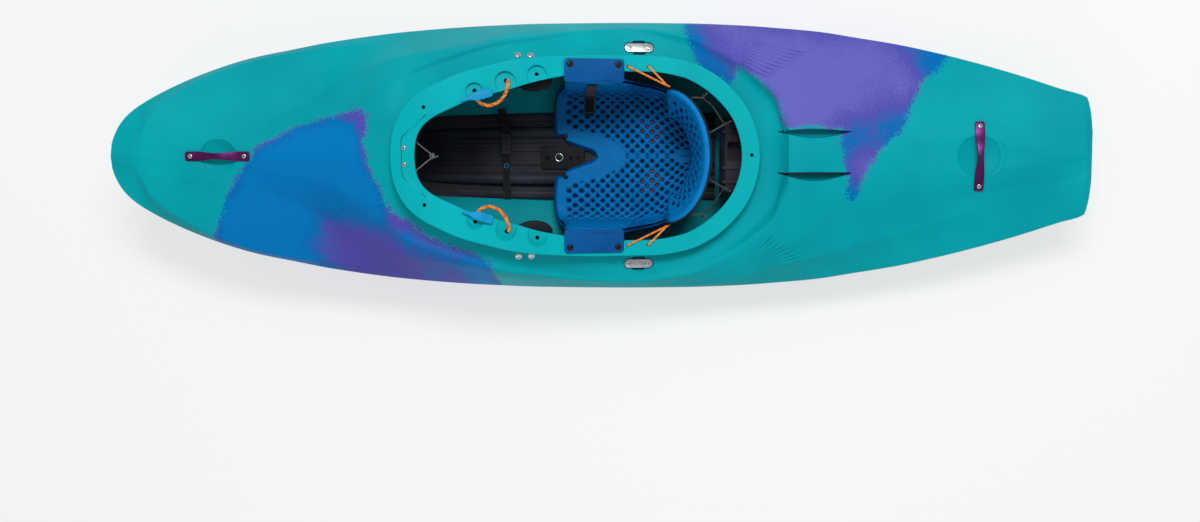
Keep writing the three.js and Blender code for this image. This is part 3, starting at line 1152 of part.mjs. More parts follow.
function pullPieces() {
  const middleX = rimFrontX + pullHoleShare * RIM_LENGTH;
  const steps = 22;
  const sides = 8;
  const tabZ = TAB_CLEARANCE + TAB_THICKNESS / 2;
  [-1, 1].forEach((side, k) => {
    const label = ['left', 'right'][k];
    const points = smoothRoute(pullRouteShares.map(([aft, out, up]) => {
      const point = rimPoint(middleX + aft * PULL_CORD, out * PULL_CORD, side, FIT_GAP + PULL_CORD / 2);
      point.z += up * PULL_CORD;
      return point;
    }), steps);
    keep(`pull_cord_${label}`, tube(points, PULL_CORD / 2, sides), 'orange_cord');
    const bowEnd = rimPoint(middleX - TAB_SETBACK, TAB_FROM_EDGE, side, tabZ);
    const rearEnd = rimPoint(middleX - TAB_SETBACK + TAB_LENGTH, TAB_FROM_EDGE, side, tabZ);
    const frame = frameAt(bowEnd, rearEnd.sub(bowEnd), vec(0, 0, 1));
    const rings = tabShares.map(([far, wide, thick]) => {
      const y = (TAB_WIDTH / 2) * wide;
      const z = (TAB_THICKNESS / 2) * thick;
      return [[-y, -z], [y, -z], [y, z], [-y, z]].map(([a, b]) => vec(far * TAB_LENGTH, a, b));
    });
    keep(`pull_tab_${label}`, moved(loft(rings), frame), 'cyan_tab');
  });
}

pullPieces();

// Colours and surfaces of the pieces
const finishLooks = {
  teal_shell: { color: 0x00a8b0, roughness: 0.42, metalness: 0 },
  purple_anodised: { color: 0x682266, roughness: 0.38, metalness: 0.55 },
  bright_steel: { color: 0xc4c8ca, roughness: 0.28, metalness: 1 },
  dark_steel: { color: 0x1c1e20, roughness: 0.4, metalness: 0.8 },
  alloy_plate: { color: 0x8c9094, roughness: 0.45, metalness: 0.9 },
  black_plastic: { color: 0x17191c, roughness: 0.5, metalness: 0 },
  hollow_moulding: { color: 0x17191c, roughness: 0.5, metalness: 0 },
  black_foam: { color: 0x1b1c1e, roughness: 0.85, metalness: 0 },
  seat_plastic: { color: 0x0a4f86, roughness: 0.45, metalness: 0 },
  seat_foam: { color: 0x04639c, roughness: 0.7, metalness: 0 },
  black_webbing: { color: 0x141518, roughness: 0.8, metalness: 0 },
  orange_cord: { color: 0xd9631e, roughness: 0.75, metalness: 0 },
  cyan_tab: { color: 0x1b9dc4, roughness: 0.45, metalness: 0 },
};
const materials = Object.fromEntries(Object.entries(finishLooks)
  .map(([name, look]) => [name, new THREE.MeshStandardMaterial({ name, flatShading: true, ...look })]));

// What moves together is grouped, with the hull as the group that carries the others
const movingGroups = {
  footrest: /^footrest_(plate|foam)$/,
  backrest: /^backrest_(shell|pad)$/,
  brace_left: /^thigh_brace_left$/,
  brace_right: /^thigh_brace_right$/,
};

const kayak = new THREE.Group();
kayak.name = 'whitewater_kayak';
const groups = Object.fromEntries(Object.keys(movingGroups).map((name) => {
  const group = new THREE.Group();
  group.name = name;
  kayak.add(group);
  return [name, group];
}));
for (const [name, solid] of Object.entries(solids)) {
  const mesh = new THREE.Mesh(geometryFrom(solid), materials[finishes[name]]);
  mesh.name = name;
  const owner = Object.keys(movingGroups).find((group) => movingGroups[group].test(name));
  (owner ? groups[owner] : kayak).add(mesh);
}

export default kayak;
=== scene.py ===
# %% [markdown]
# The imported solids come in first. They are the frame that every new piece is built on: each object
# sits at the origin and carries its place in its mesh, in metres, with the bow at -X and +Z up.

import math

import bmesh
import bpy
from mathutils import Matrix, Vector


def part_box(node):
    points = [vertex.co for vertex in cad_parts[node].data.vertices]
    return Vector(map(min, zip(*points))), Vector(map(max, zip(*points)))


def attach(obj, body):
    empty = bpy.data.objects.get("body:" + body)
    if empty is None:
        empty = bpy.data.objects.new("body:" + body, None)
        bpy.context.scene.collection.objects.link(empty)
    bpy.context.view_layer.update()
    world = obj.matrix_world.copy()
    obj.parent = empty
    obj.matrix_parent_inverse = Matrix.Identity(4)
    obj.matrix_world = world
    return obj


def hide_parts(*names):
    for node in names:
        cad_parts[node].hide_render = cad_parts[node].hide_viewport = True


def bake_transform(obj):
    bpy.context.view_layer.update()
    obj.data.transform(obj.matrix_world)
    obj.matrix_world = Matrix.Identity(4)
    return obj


# The two sides of the boat, and the two ends of a piece that lies along it
SIDES = ((-1, "left"), (1, "right"))
ENDS = ((-1, "front"), (1, "rear"))
UP = Vector((0, 0, 1))

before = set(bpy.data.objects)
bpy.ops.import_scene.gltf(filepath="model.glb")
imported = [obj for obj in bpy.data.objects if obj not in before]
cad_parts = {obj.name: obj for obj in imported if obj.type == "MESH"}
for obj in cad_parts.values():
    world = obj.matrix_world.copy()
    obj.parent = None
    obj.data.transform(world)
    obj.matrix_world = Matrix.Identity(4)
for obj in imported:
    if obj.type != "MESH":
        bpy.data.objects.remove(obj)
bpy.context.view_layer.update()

# %% [markdown]
# The boat is looked at from high above its middle, a little from the stern, with the deck filling
# the upper half of the picture. The camera could be aimed with a constraint, but a matrix built from
# its three axes says exactly where it looks, and the empty lower half comes from turning it to port.

# %% Camera
LENS = 0.0402
SENSOR_WIDTH = 0.036
CAMERA_PLACE = Vector((0.2998, 0.0, 3.627))
CAMERA_LEAN = math.radians(5.05)
CAMERA_TURN = math.radians(4.47)

picture_right = Vector((math.cos(CAMERA_LEAN), 0.0, -math.sin(CAMERA_LEAN)))
straight_down = Vector((-math.sin(CAMERA_LEAN), 0.0, -math.cos(CAMERA_LEAN)))
port = Vector((0.0, -1.0, 0.0))
look = straight_down * math.cos(CAMERA_TURN) + port * math.sin(CAMERA_TURN)
picture_up = picture_right.cross(look)

camera = bpy.data.objects.new("camera", bpy.data.cameras.new("camera"))
bpy.context.scene.collection.objects.link(camera)
camera.data.lens = LENS * 1000
camera.data.sensor_width = SENSOR_WIDTH * 1000
camera.data.clip_end = 60.0
camera.matrix_world = Matrix.Translation(CAMERA_PLACE) @ Matrix(
    (picture_right, picture_up, -look)
).transposed().to_4x4()
bpy.context.scene.camera = camera
print("camera looks along", [round(part, 3) for part in look])

# %% [markdown]
# The lines of the hull are kept as short tables: the first number is a share of the length from the
# bow, the others are shares of the half beam and of the height. One monotone cubic runs through each
# table, so a line never swings past its points. The same tables give every height on the deck.

# %% Sizes and lines of the hull
LENGTH = 2.44
BEAM = 0.68
HEIGHT = 0.457
WALL = 0.005

half_beam_shares = [
    (0, 0.088), (0.0006, 0.106), (0.002, 0.142), (0.005, 0.197), (0.01, 0.26), (0.018, 0.327), (0.031, 0.404),
    (0.052, 0.496), (0.092, 0.635), (0.133, 0.735), (0.174, 0.8), (0.215, 0.859), (0.296, 0.938),
    (0.378, 0.982), (0.439, 0.997), (0.51, 1), (0.582, 0.994), (0.643, 0.976), (0.684, 0.953), (0.725, 0.924),
    (0.765, 0.876), (0.806, 0.824), (0.847, 0.756), (0.888, 0.676), (0.929, 0.585), (0.969, 0.485),
    (0.993, 0.426), (0.997, 0.324), (1, 0.179),
]
keel_shares = [
    (0, 0.796), (0.003, 0.781), (0.011, 0.733), (0.021, 0.672), (0.041, 0.575), (0.072, 0.46), (0.113, 0.33),
    (0.153, 0.232), (0.194, 0.155), (0.235, 0.103), (0.276, 0.063), (0.337, 0.031), (0.398, 0.015), (0.46, 0),
    (0.56, 0), (0.602, 0.004), (0.663, 0.02), (0.725, 0.063), (0.786, 0.129), (0.847, 0.217), (0.908, 0.298),
    (0.969, 0.389), (0.99, 0.418), (1, 0.435),
]
PANEL_SHARE = 0.42
bottom_chine_out_shares = [
    (0, 0.5), (0.04, 0.56), (0.1, 0.62), (0.18, 0.7), (0.28, 0.76), (0.4, 0.78), (0.65, 0.78), (0.8, 0.76),
    (0.95, 0.78), (1, 0.8),
]
bottom_chine_shares = [
    (0, 0.798), (0.011, 0.737), (0.041, 0.582), (0.092, 0.398), (0.185, 0.19), (0.296, 0.125), (0.392, 0.09),
    (0.49, 0.074), (0.581, 0.07), (0.684, 0.096), (0.798, 0.164), (0.878, 0.265), (0.949, 0.365),
    (0.99, 0.42), (1, 0.437),
]
lower_chine_out_shares = [
    (0, 0.93), (0.05, 0.94), (0.15, 0.965), (0.3, 0.98), (0.4, 0.99), (0.6, 0.996), (1, 0.998),
]
lower_chine_shares = [
    (0, 0.81), (0.02, 0.729), (0.036, 0.685), (0.056, 0.641), (0.081, 0.591), (0.099, 0.53), (0.166, 0.442),
    (0.242, 0.389), (0.296, 0.385), (0.4, 0.368), (0.602, 0.337), (0.725, 0.333), (0.816, 0.348),
    (0.878, 0.379), (0.939, 0.414), (0.973, 0.431), (0.997, 0.44), (1, 0.442),
]
sheer_shares = [
    (0, 0.808), (0.016, 0.777), (0.036, 0.729), (0.062, 0.681), (0.092, 0.621), (0.146, 0.558),
    (0.185, 0.523), (0.225, 0.499), (0.296, 0.46), (0.4, 0.407), (0.602, 0.374), (0.725, 0.37),
    (0.816, 0.381), (0.878, 0.407), (0.939, 0.438), (0.973, 0.457), (0.997, 0.466), (1, 0.451),
]
knuckle_shares = [
    (0, 0.06, 0.812), (0.016, 0.072, 0.832), (0.029, 0.09, 0.844), (0.033, 0.17, 0.836), (0.039, 0.27, 0.824),
    (0.0545, 0.391, 0.795), (0.072, 0.484, 0.76), (0.0914, 0.57, 0.725), (0.1147, 0.642, 0.687),
    (0.138, 0.7, 0.652), (0.1614, 0.742, 0.63), (0.185, 0.772, 0.606), (0.215, 0.799, 0.577),
    (0.245, 0.835, 0.558), (0.291, 0.871, 0.547), (0.348, 0.912, 0.547), (0.404, 0.953, 0.514),
    (0.439, 0.971, 0.477), (0.484, 0.982, 0.451), (0.536, 0.985, 0.431), (0.588, 0.974, 0.429),
    (0.623, 0.95, 0.438), (0.66, 0.874, 0.468), (0.701, 0.788, 0.507), (0.74, 0.709, 0.5),
    (0.806, 0.568, 0.478), (0.878, 0.415, 0.467), (0.939, 0.282, 0.468), (0.993, 0.165, 0.482),
    (1, 0.088, 0.451),
]
crease_shares = [
    (0, 0.048, 0.816), (0.016, 0.056, 0.836), (0.029, 0.066, 0.847), (0.039, 0.13, 0.841),
    (0.0545, 0.155, 0.829), (0.072, 0.162, 0.818), (0.092, 0.165, 0.808), (0.137, 0.18, 0.783),
    (0.174, 0.31, 0.732), (0.197, 0.39, 0.697), (0.217, 0.465, 0.672), (0.248, 0.582, 0.694),
    (0.299, 0.718, 0.764), (0.348, 0.771, 0.792), (0.378, 0.818, 0.755), (0.404, 0.891, 0.683),
    (0.439, 0.918, 0.608), (0.484, 0.947, 0.536), (0.536, 0.956, 0.499), (0.588, 0.926, 0.492),
    (0.623, 0.882, 0.499), (0.66, 0.735, 0.547), (0.684, 0.671, 0.573), (0.701, 0.618, 0.578),
    (0.74, 0.506, 0.54), (0.806, 0.412, 0.497), (0.908, 0.25, 0.475), (0.993, 0.118, 0.479),
    (1, 0.065, 0.452),
]
ridge_shares = [
    (0, 0.035, 0.818), (0.016, 0.04, 0.838), (0.029, 0.044, 0.848), (0.039, 0.07, 0.844),
    (0.0545, 0.09, 0.834), (0.092, 0.11, 0.812), (0.137, 0.12, 0.795), (0.174, 0.206, 0.777),
    (0.202, 0.265, 0.766), (0.215, 0.288, 0.77), (0.259, 0.397, 0.807), (0.291, 0.529, 0.84),
    (0.304, 0.588, 0.845), (0.347, 0.706, 0.834), (0.404, 0.835, 0.768), (0.439, 0.871, 0.689),
    (0.484, 0.918, 0.613), (0.536, 0.935, 0.547), (0.588, 0.882, 0.547), (0.602, 0.85, 0.551),
    (0.623, 0.771, 0.562), (0.642, 0.691, 0.578), (0.66, 0.579, 0.604), (0.679, 0.456, 0.621),
    (0.686, 0.324, 0.626), (0.695, 0.279, 0.628), (0.74, 0.324, 0.575), (0.806, 0.279, 0.519),
    (0.908, 0.176, 0.492), (0.993, 0.076, 0.481), (1, 0.041, 0.453),
]
trough_shares = [
    (0, 0.018, 0.82), (0.016, 0.02, 0.84), (0.029, 0.022, 0.849), (0.039, 0.035, 0.845),
    (0.0545, 0.045, 0.836), (0.092, 0.055, 0.815), (0.137, 0.062, 0.806), (0.174, 0.118, 0.805),
    (0.215, 0.176, 0.821), (0.255, 0.294, 0.849), (0.276, 0.353, 0.867), (0.291, 0.441, 0.871),
    (0.304, 0.535, 0.845), (0.347, 0.662, 0.825), (0.404, 0.788, 0.759), (0.439, 0.829, 0.683),
    (0.484, 0.882, 0.611), (0.536, 0.9, 0.549), (0.588, 0.824, 0.532), (0.602, 0.782, 0.532),
    (0.623, 0.7, 0.536), (0.642, 0.618, 0.545), (0.66, 0.506, 0.554), (0.679, 0.368, 0.56),
    (0.686, 0.206, 0.573), (0.695, 0.088, 0.635), (0.74, 0.147, 0.593), (0.806, 0.132, 0.53),
    (0.993, 0.035, 0.481), (1, 0.024, 0.453),
]
crown_shares = [
    (0, 0.824), (0.016, 0.844), (0.03, 0.852), (0.033, 0.853), (0.052, 0.837), (0.092, 0.816), (0.133, 0.81),
    (0.174, 0.821), (0.215, 0.853), (0.255, 0.895), (0.296, 0.928), (0.305, 0.932), (0.313, 0.945),
    (0.322, 0.974), (0.337, 1.011), (0.368, 1.039), (0.393, 1.05), (0.427, 1.09), (0.461, 1.031), (0.5, 0.91),
    (0.533, 0.755), (0.558, 0.637), (0.585, 0.56), (0.612, 0.543), (0.642, 0.547), (0.679, 0.554),
    (0.686, 0.573), (0.695, 0.635), (0.704, 0.635), (0.725, 0.619), (0.745, 0.591), (0.786, 0.554),
    (0.827, 0.521), (0.867, 0.51), (0.908, 0.501), (0.979, 0.499), (0.993, 0.481), (1, 0.453),
]


def value_at(table, place, column=1):
    """Monotone cubic through a table's pairs."""
    if place <= table[0][0]:
        return table[0][column]
    if place >= table[-1][0]:
        return table[-1][column]
    i = next(k for k in range(len(table) - 1) if table[k + 1][0] >= place)

    def slope(k):
        return (table[k + 1][column] - table[k][column]) / (table[k + 1][0] - table[k][0])

    def tangent(k):
        if k == 0:
            return slope(0)
        if k == len(table) - 1:
            return slope(k - 1)
        before, after = slope(k - 1), slope(k)
        return 0.0 if before * after <= 0 else 2 * before * after / (before + after)

    span = table[i + 1][0] - table[i][0]
    t = (place - table[i][0]) / span
    rise = (3 - 2 * t) * t * t
    start = t * (1 - t) * (1 - t) * span * tangent(i)
    end = t * t * (t - 1) * span * tangent(i + 1)
    return (1 - rise) * table[i][column] + rise * table[i + 1][column] + start + end


def half_section(share):
    """Corners of half a cross-section from the keel to the middle of the deck, as (y, z)."""
    out = BEAM / 2 * value_at(half_beam_shares, share)
    keel = HEIGHT * value_at(keel_shares, share)
    corners = [
        (0.0, keel),
        (out * PANEL_SHARE, keel),
        (out * value_at(bottom_chine_out_shares, share), HEIGHT * value_at(bottom_chine_shares, share)),
        (out * value_at(lower_chine_out_shares, share), HEIGHT * value_at(lower_chine_shares, share)),
        (out, HEIGHT * value_at(sheer_shares, share)),
    ]
    for table in (knuckle_shares, crease_shares, ridge_shares, trough_shares):
        corners.append((BEAM / 2 * value_at(table, share), HEIGHT * value_at(table, share, 2)))
    corners.append((0.0, HEIGHT * value_at(crown_shares, share)))
    return corners


print("half section amidships", [(round(y, 3), round(z, 3)) for y, z in half_section(0.5)])

# %% [markdown]
# A rotationally moulded hull has no sharp corner: each chine is a small arc. Every corner of the
# section is turned into a short quadratic arc, and the flats between are split a fixed number of
# times, so that each ring has the same number of points and neighbours can be bridged.

# %% Rounded sections
corner_radii = [0.02, 0.01, 0.007, 0.003, 0.004, 0.006, 0.02, 0.018]
flat_splits = [3, 3, 4, 1, 3, 4, 3, 3, 7]
ARC_STEPS = 4


def along(a, b, t):
    return tuple(p + (q - p) * t for p, q in zip(a, b))


def rounded(corners, radii, splits):
    """Points of an open path whose inner corners are arcs; the two ends stay."""
    points = [corners[0]]
    leave = corners[0]
    for i in range(1, len(corners)):
        last = i == len(corners) - 1
        before = math.dist(corners[i - 1], corners[i])
        if last:
            enter = corners[i]
        else:
            after = math.dist(corners[i], corners[i + 1])
            cut = min(radii[i - 1], 0.42 * before, 0.42 * after)
            enter = along(corners[i], corners[i - 1], cut / max(before, 1e-9))
            leave_next = along(corners[i], corners[i + 1], cut / max(after, 1e-9))
        for k in range(1, splits[i - 1] + 1):
            points.append(along(leave, enter, k / splits[i - 1]))
        if last:
            break
        for k in range(1, ARC_STEPS + 1):
            t = k / ARC_STEPS
            points.append(along(along(enter, corners[i], t), along(corners[i], leave_next, t), t))
        leave = leave_next
    return points


def smooth_half(share):
    """Rounded half section; the middle of the deck is rounded against its mirror image."""
    corners = half_section(share)
    crown, beside = corners[-1], corners[-2]
    cut = min(0.03, 0.4 * math.dist(crown, beside))
    shoulder = along(crown, beside, cut / max(math.dist(crown, beside), 1e-9))
    top = (0.0, (crown[1] + shoulder[1]) / 2)
    path = rounded(corners[:-1] + [shoulder], corner_radii, flat_splits)
    path.append((shoulder[0] / 2, top[1] + (shoulder[1] - top[1]) / 4))
    path.append(top)
    return path


def full_ring(half):
    return half + [(-y, z) for y, z in reversed(half[1:-1])]


ring_points = len(full_ring(smooth_half(0.5)))
print("points in a ring", ring_points)

# %% [markdown]
# Other pieces sit on the deck, so their places need its height, its slope and the way it faces.
# A ray cast on the finished mesh would do it too, but the section itself answers at once.

# %% Heights on the deck and widths of the side
def share_at(x):
    return min(max(x / LENGTH + 0.5, 0.0), 1.0)


def crossing(path, place, read, give):
    for a, b in zip(path, path[1:]):
        if (a[read] - place) * (b[read] - place) <= 0 and a[read] != b[read]:
            return a[give] + (b[give] - a[give]) * (place - a[read]) / (b[read] - a[read])
    return path[-1][give]


def side_and_deck(x):
    """Half section parted at its widest point: the side below it and the deck above it."""
    path = smooth_half(share_at(x))
    widest = max(range(len(path)), key=lambda k: path[k][0])
    return path[: widest + 1], path[widest:]


def deck_height(x, y):
    return crossing(side_and_deck(x)[1], abs(y), 0, 1)


def side_width(x, z):
    return crossing(side_and_deck(x)[0], z, 1, 0)


PROBE = 0.008


def slope_of(read, place, reach=PROBE):
    """Slope of a line at a place, from a point on either side of it."""
    return (read(place + reach) - read(place - reach)) / (2 * reach)


def deck_normal(x, y):
    slope_x = slope_of(lambda near: deck_height(near, y), x)
    slope_y = slope_of(lambda near: deck_height(x, near), y)
    return Vector((-slope_x, -slope_y, 1)).normalized()


def on_deck(x, y, above=0.0):
    return Vector((x, y, deck_height(x, y))) + deck_normal(x, y) * above


print("deck at the bow handle", round(deck_height(-0.945, 0.0), 4))

# %% [markdown]
# The rim of the cockpit is a flat flange on a low wall. Its plan, its height and the width of its
# flange are three more tables along its own length.

# %% Lines of the cockpit rim
RIM_FRONT_X = -0.49
RIM_LENGTH = 0.892
RIM_REAR_X = RIM_FRONT_X + RIM_LENGTH
RIM_WIDTH = 0.494
RIM_LIP = 0.014
RIM_PLATE = 0.005
RISER_INSET = 0.016
FLANGE = 0.068

rim_out_shares = [
    (0, 0), (0.003, 0.14), (0.012, 0.29), (0.045, 0.49), (0.09, 0.625), (0.13, 0.7), (0.18, 0.785),
    (0.25, 0.865), (0.34, 0.945), (0.45, 0.985), (0.56, 1), (0.7, 1), (0.8, 0.945), (0.87, 0.825),
    (0.93, 0.64), (0.97, 0.44), (0.99, 0.25), (0.998, 0.11), (1, 0),
]
rim_height_shares = [
    (0, 0.978), (0.05, 0.998), (0.08, 1), (0.12, 0.994), (0.16, 0.983), (0.215, 0.958), (0.271, 0.918),
    (0.33, 0.886), (0.383, 0.852), (0.438, 0.808), (0.55, 0.73), (0.66, 0.665), (0.718, 0.64), (0.83, 0.623),
    (0.942, 0.621), (1, 0.621),
]
flange_shares = [
    (0, 0.91), (0.06, 0.96), (0.15, 1), (0.3, 0.99), (0.4, 0.82), (0.5, 0.66), (0.6, 0.57), (0.75, 0.59),
    (0.9, 0.65), (1, 0.66),
]


def rim_share(x):
    return (x - RIM_FRONT_X) / RIM_LENGTH


def rim_top(x):
    return HEIGHT * value_at(rim_height_shares, rim_share(x))


def flange_at(share):
    return FLANGE * value_at(flange_shares, share)


def rim_normal(x):
    return Vector((-slope_of(rim_top, x), 0, 1)).normalized()


def rim_point(x, from_edge, side, above):
    """Point beside the inner edge of the flange, where a cord or a screw sits."""
    share = rim_share(x)
    out = RIM_WIDTH / 2 * value_at(rim_out_shares, share) - flange_at(share) + from_edge
    return Vector((x, side * out, rim_top(x) + above))


def rim_outline(count):
    """Outline of the rim as evenly spaced (place, inward direction, share), closed round the cockpit."""
    fine = 400
    plan = []
    for i in range(2 * fine):
        side = 1 if i <= fine else -1
        t = i / fine if i <= fine else (2 * fine - i) / fine
        share = (1 - math.cos(math.pi * t)) / 2
        out = RIM_WIDTH / 2 * value_at(rim_out_shares, share)
        plan.append(Vector((RIM_FRONT_X + share * RIM_LENGTH, side * out)))
    lengths = [(b - a).length for a, b in zip(plan, plan[1:] + plan[:1])]
    spacing = sum(lengths) / count
    places = []
    covered = 0.0
    for start, end, length in zip(plan, plan[1:] + plan[:1], lengths):
        while len(places) < count and len(places) * spacing <= covered + length:
            places.append(start.lerp(end, (len(places) * spacing - covered) / max(length, 1e-9)))
        covered += length
    for _ in range(12):
        places = [place * 0.5 + (places[i - 1] + places[(i + 1) % count]) * 0.25
                  for i, place in enumerate(places)]
    outline = []
    for i, place in enumerate(places):
        step = places[(i + 1) % count] - places[i - 1]
        inward = Vector((step.y, -step.x)).normalized()
        outline.append((place, inward, min(max(rim_share(place.x), 0.0), 1.0)))
    return outline


print("rim top at the front and the rear", round(rim_top(RIM_FRONT_X), 3), round(rim_top(RIM_REAR_X), 3))

# %% [markdown]
# Finishes are built from nodes. Each starts from the shader that Blender makes and gets its own
# colour variation and bump from noise on Object coordinates, which stay with the piece in any view.

# %% Helpers for finishes
def colour(red, green, blue):
    """A colour as it is seen on a screen, from 0 to 255, as the linear numbers that a shader takes."""
    parts = [part / 255 for part in (red, green, blue)]
    linear = [part / 12.92 if part <= 0.04045 else ((part + 0.055) / 1.055) ** 2.4 for part in parts]
    return (*linear, 1.0)


class Finish:
    """A material with its node tree, and short ways to add the nodes that this boat needs."""

    def __init__(self, name, roughness, metallic=0.0, sheen=0.0, gloss=0.1):
        self.material = bpy.data.materials.new(name)
        self.material.use_nodes = True
        self.nodes = self.material.node_tree.nodes
        self.links = self.material.node_tree.links
        self.shader = self.nodes["Principled BSDF"]
        self.shader.inputs["Roughness"].default_value = roughness
        self.shader.inputs["Metallic"].default_value = metallic
        self.shader.inputs["Sheen Weight"].default_value = sheen
        self.shader.inputs["Specular IOR Level"].default_value = 0.5 if metallic else gloss

    def add(self, kind, **settings):
        node = self.nodes.new(kind)
        for name, value in settings.items():
            setattr(node, name, value)
        return node

    def join(self, source, target, socket):
        output = source if isinstance(source, bpy.types.NodeSocket) else source.outputs[0]
        self.links.new(output, target.inputs[socket])

    def places(self):
        return self.add("ShaderNodeTexCoord").outputs["Object"]

    def noise(self, scale, detail=3.0, distortion=0.0):
        node = self.add("ShaderNodeTexNoise")
        node.inputs["Scale"].default_value = scale
        node.inputs["Detail"].default_value = detail
        node.inputs["Distortion"].default_value = distortion
        self.join(self.places(), node, "Vector")
        return node.outputs["Fac"]

    def maths(self, operation, first, second=None, third=None):
        node = self.add("ShaderNodeMath", operation=operation)
        for i, value in enumerate((first, second, third)):
            if value is None:
                continue
            if isinstance(value, (int, float)):
                node.inputs[i].default_value = value
            else:
                self.join(value, node, i)
        return node.outputs[0]

    def attribute(self, name):
        return self.add("ShaderNodeAttribute", attribute_name=name).outputs["Fac"]

    def ramp(self, value, stops):
        node = self.add("ShaderNodeValToRGB")
        elements = node.color_ramp.elements
        while len(elements) < len(stops):
            elements.new(0.5)
        for element, (place, shade) in zip(elements, stops):
            element.position = place
            element.color = shade
        self.join(value, node, "Fac")
        return node.outputs["Color"]

    def mix(self, share, first, second):
        node = self.add("ShaderNodeMix", data_type="RGBA")
        for socket, value in (("Factor", share), ("A", first), ("B", second)):
            is_colour = socket != "Factor"
            target = next(s for s in node.inputs if s.name == socket and (s.type == "RGBA") == is_colour)
            if isinstance(value, (int, float, tuple)):
                target.default_value = value
            else:
                self.links.new(value, target)
        return next(s for s in node.outputs if s.type == "RGBA")

    def bump(self, height, distance, normal=None):
        node = self.add("ShaderNodeBump")
        node.inputs["Distance"].default_value = distance
        self.join(height, node, "Height")
        if normal is not None:
            self.join(normal, node, "Normal")
        return node.outputs["Normal"]

    def paint(self, colours):
        self.join(colours, self.shader, "Base Color")

    def relief(self, normal):
        self.join(normal, self.shader, "Normal")


def plain_finish(name, shade, darker, roughness, metallic=0.0, grain=400.0, depth=0.0002, patch=30.0, **rest):
    """A moulded or machined finish: two close tones in soft patches, and a fine grain as bump."""
    finish = Finish(name, roughness, metallic, **rest)
    finish.paint(finish.ramp(finish.noise(patch, 2.0), [(0.3, darker), (0.7, shade)]))
    finish.relief(finish.bump(finish.noise(grain, 2.0), depth))
    return finish


print("finish helpers ready")

# %% [markdown]
# The hull's plastic has three colours melted together. Where they meet, the powder has mixed in
# grains, so the edges are ragged and speckled. Two attributes on the mesh give the distance from
# the outline of each coloured field, and noise bends that distance before it is cut.

# %% Hull plastic
TEAL = colour(0, 166, 174)
DEEP_TEAL = colour(0, 150, 161)
BLUE = colour(0, 104, 176)
BRIGHT_BLUE = colour(0, 118, 186)
PURPLE = colour(80, 76, 168)
LIGHT_PURPLE = colour(98, 98, 184)
# Ends of a ramp that is read as a share
NONE = (0, 0, 0, 1)
ALL = (1, 1, 1, 1)


def swirled_finish():
    finish = Finish("swirled_polyethylene", 0.52, gloss=0.05)
    wide = finish.noise(7.0, 4.0, distortion=0.6)
    speckle = finish.noise(230.0, 4.0)
    ragged = finish.noise(24.0, 4.0)
    wander = finish.maths("MULTIPLY", finish.maths("SUBTRACT", ragged, 0.5), 0.03)
    grains = finish.maths("MULTIPLY", finish.maths("SUBTRACT", speckle, 0.5), 0.06)

    def field(name, reach):
        place = finish.maths("ADD", finish.attribute(name), finish.maths("ADD", wander, grains))
        within = finish.maths("MULTIPLY_ADD", place, 1 / reach, 0.5)
        return finish.ramp(within, [(0.42, NONE), (0.58, ALL)])

    base = finish.ramp(finish.noise(5.0, 3.0), [(0.3, DEEP_TEAL), (0.75, TEAL)])
    spots = finish.maths("MULTIPLY", finish.maths("SUBTRACT", speckle, 0.5), 0.55)
    lean = finish.maths("ADD", finish.maths("MULTIPLY", finish.maths("SUBTRACT", wide, 0.5), 0.55), spots)
    edge = finish.ramp(finish.attribute("bow_field"), [(0.0, (0.3, 0.3, 0.3, 1)), (0.035, (0, 0, 0, 1))])
    bow_purple = finish.maths("ADD", finish.maths("ADD", finish.attribute("bow_purple"), lean), edge)
    bow_mix = finish.ramp(bow_purple, [(0.34, BRIGHT_BLUE), (0.46, BLUE), (0.6, PURPLE)])
    stern_purple = finish.maths("ADD", finish.attribute("stern_purple"), lean)
    stern_mix = finish.ramp(stern_purple, [(0.34, BLUE), (0.48, PURPLE), (0.72, LIGHT_PURPLE)])
    with_bow = finish.mix(field("bow_field", 0.03), base, bow_mix)
    finish.paint(finish.mix(field("stern_field", 0.03), with_bow, stern_mix))
    fine = finish.bump(finish.noise(900.0, 2.0), 0.00012)
    finish.relief(finish.bump(finish.noise(60.0, 2.0), 0.0004, normal=fine))
    return finish


hull_finish = swirled_finish()
rim_finish = plain_finish("teal_polyethylene", colour(0, 174, 182), colour(0, 166, 175), 0.5, gloss=0.06,
                          grain=900.0, depth=0.00012, patch=6.0)

# Outlines of the two coloured fields on the deck, as (x, y)
bow_outline = [
    (-0.98, -0.21), (-0.955, -0.151), (-0.933, -0.099), (-0.893, -0.041), (-0.861, -0.002), (-0.846, 0.021),
    (-0.789, 0.055), (-0.727, 0.083), (-0.68, 0.093), (-0.58, 0.115), (-0.558, 0.098), (-0.56, 0.031),
    (-0.543, -0.054), (-0.496, -0.136), (-0.42, -0.19), (-0.292, -0.245), (-0.26, -0.265), (-0.26, -0.6),
    (-0.98, -0.6),
]
stern_outline = [
    (0.212, 0.6), (0.212, 0.331), (0.222, 0.287), (0.24, 0.237), (0.324, 0.175), (0.349, 0.217),
    (0.409, 0.187), (0.449, 0.13), (0.461, 0.07), (0.608, 0.07), (0.6, 0.036), (0.617, -0.047),
    (0.625, -0.111), (0.642, -0.099), (0.677, -0.012), (0.759, 0.075), (0.784, 0.14), (0.801, 0.187),
    (0.836, 0.205), (0.871, 0.244), (0.871, 0.6),
]


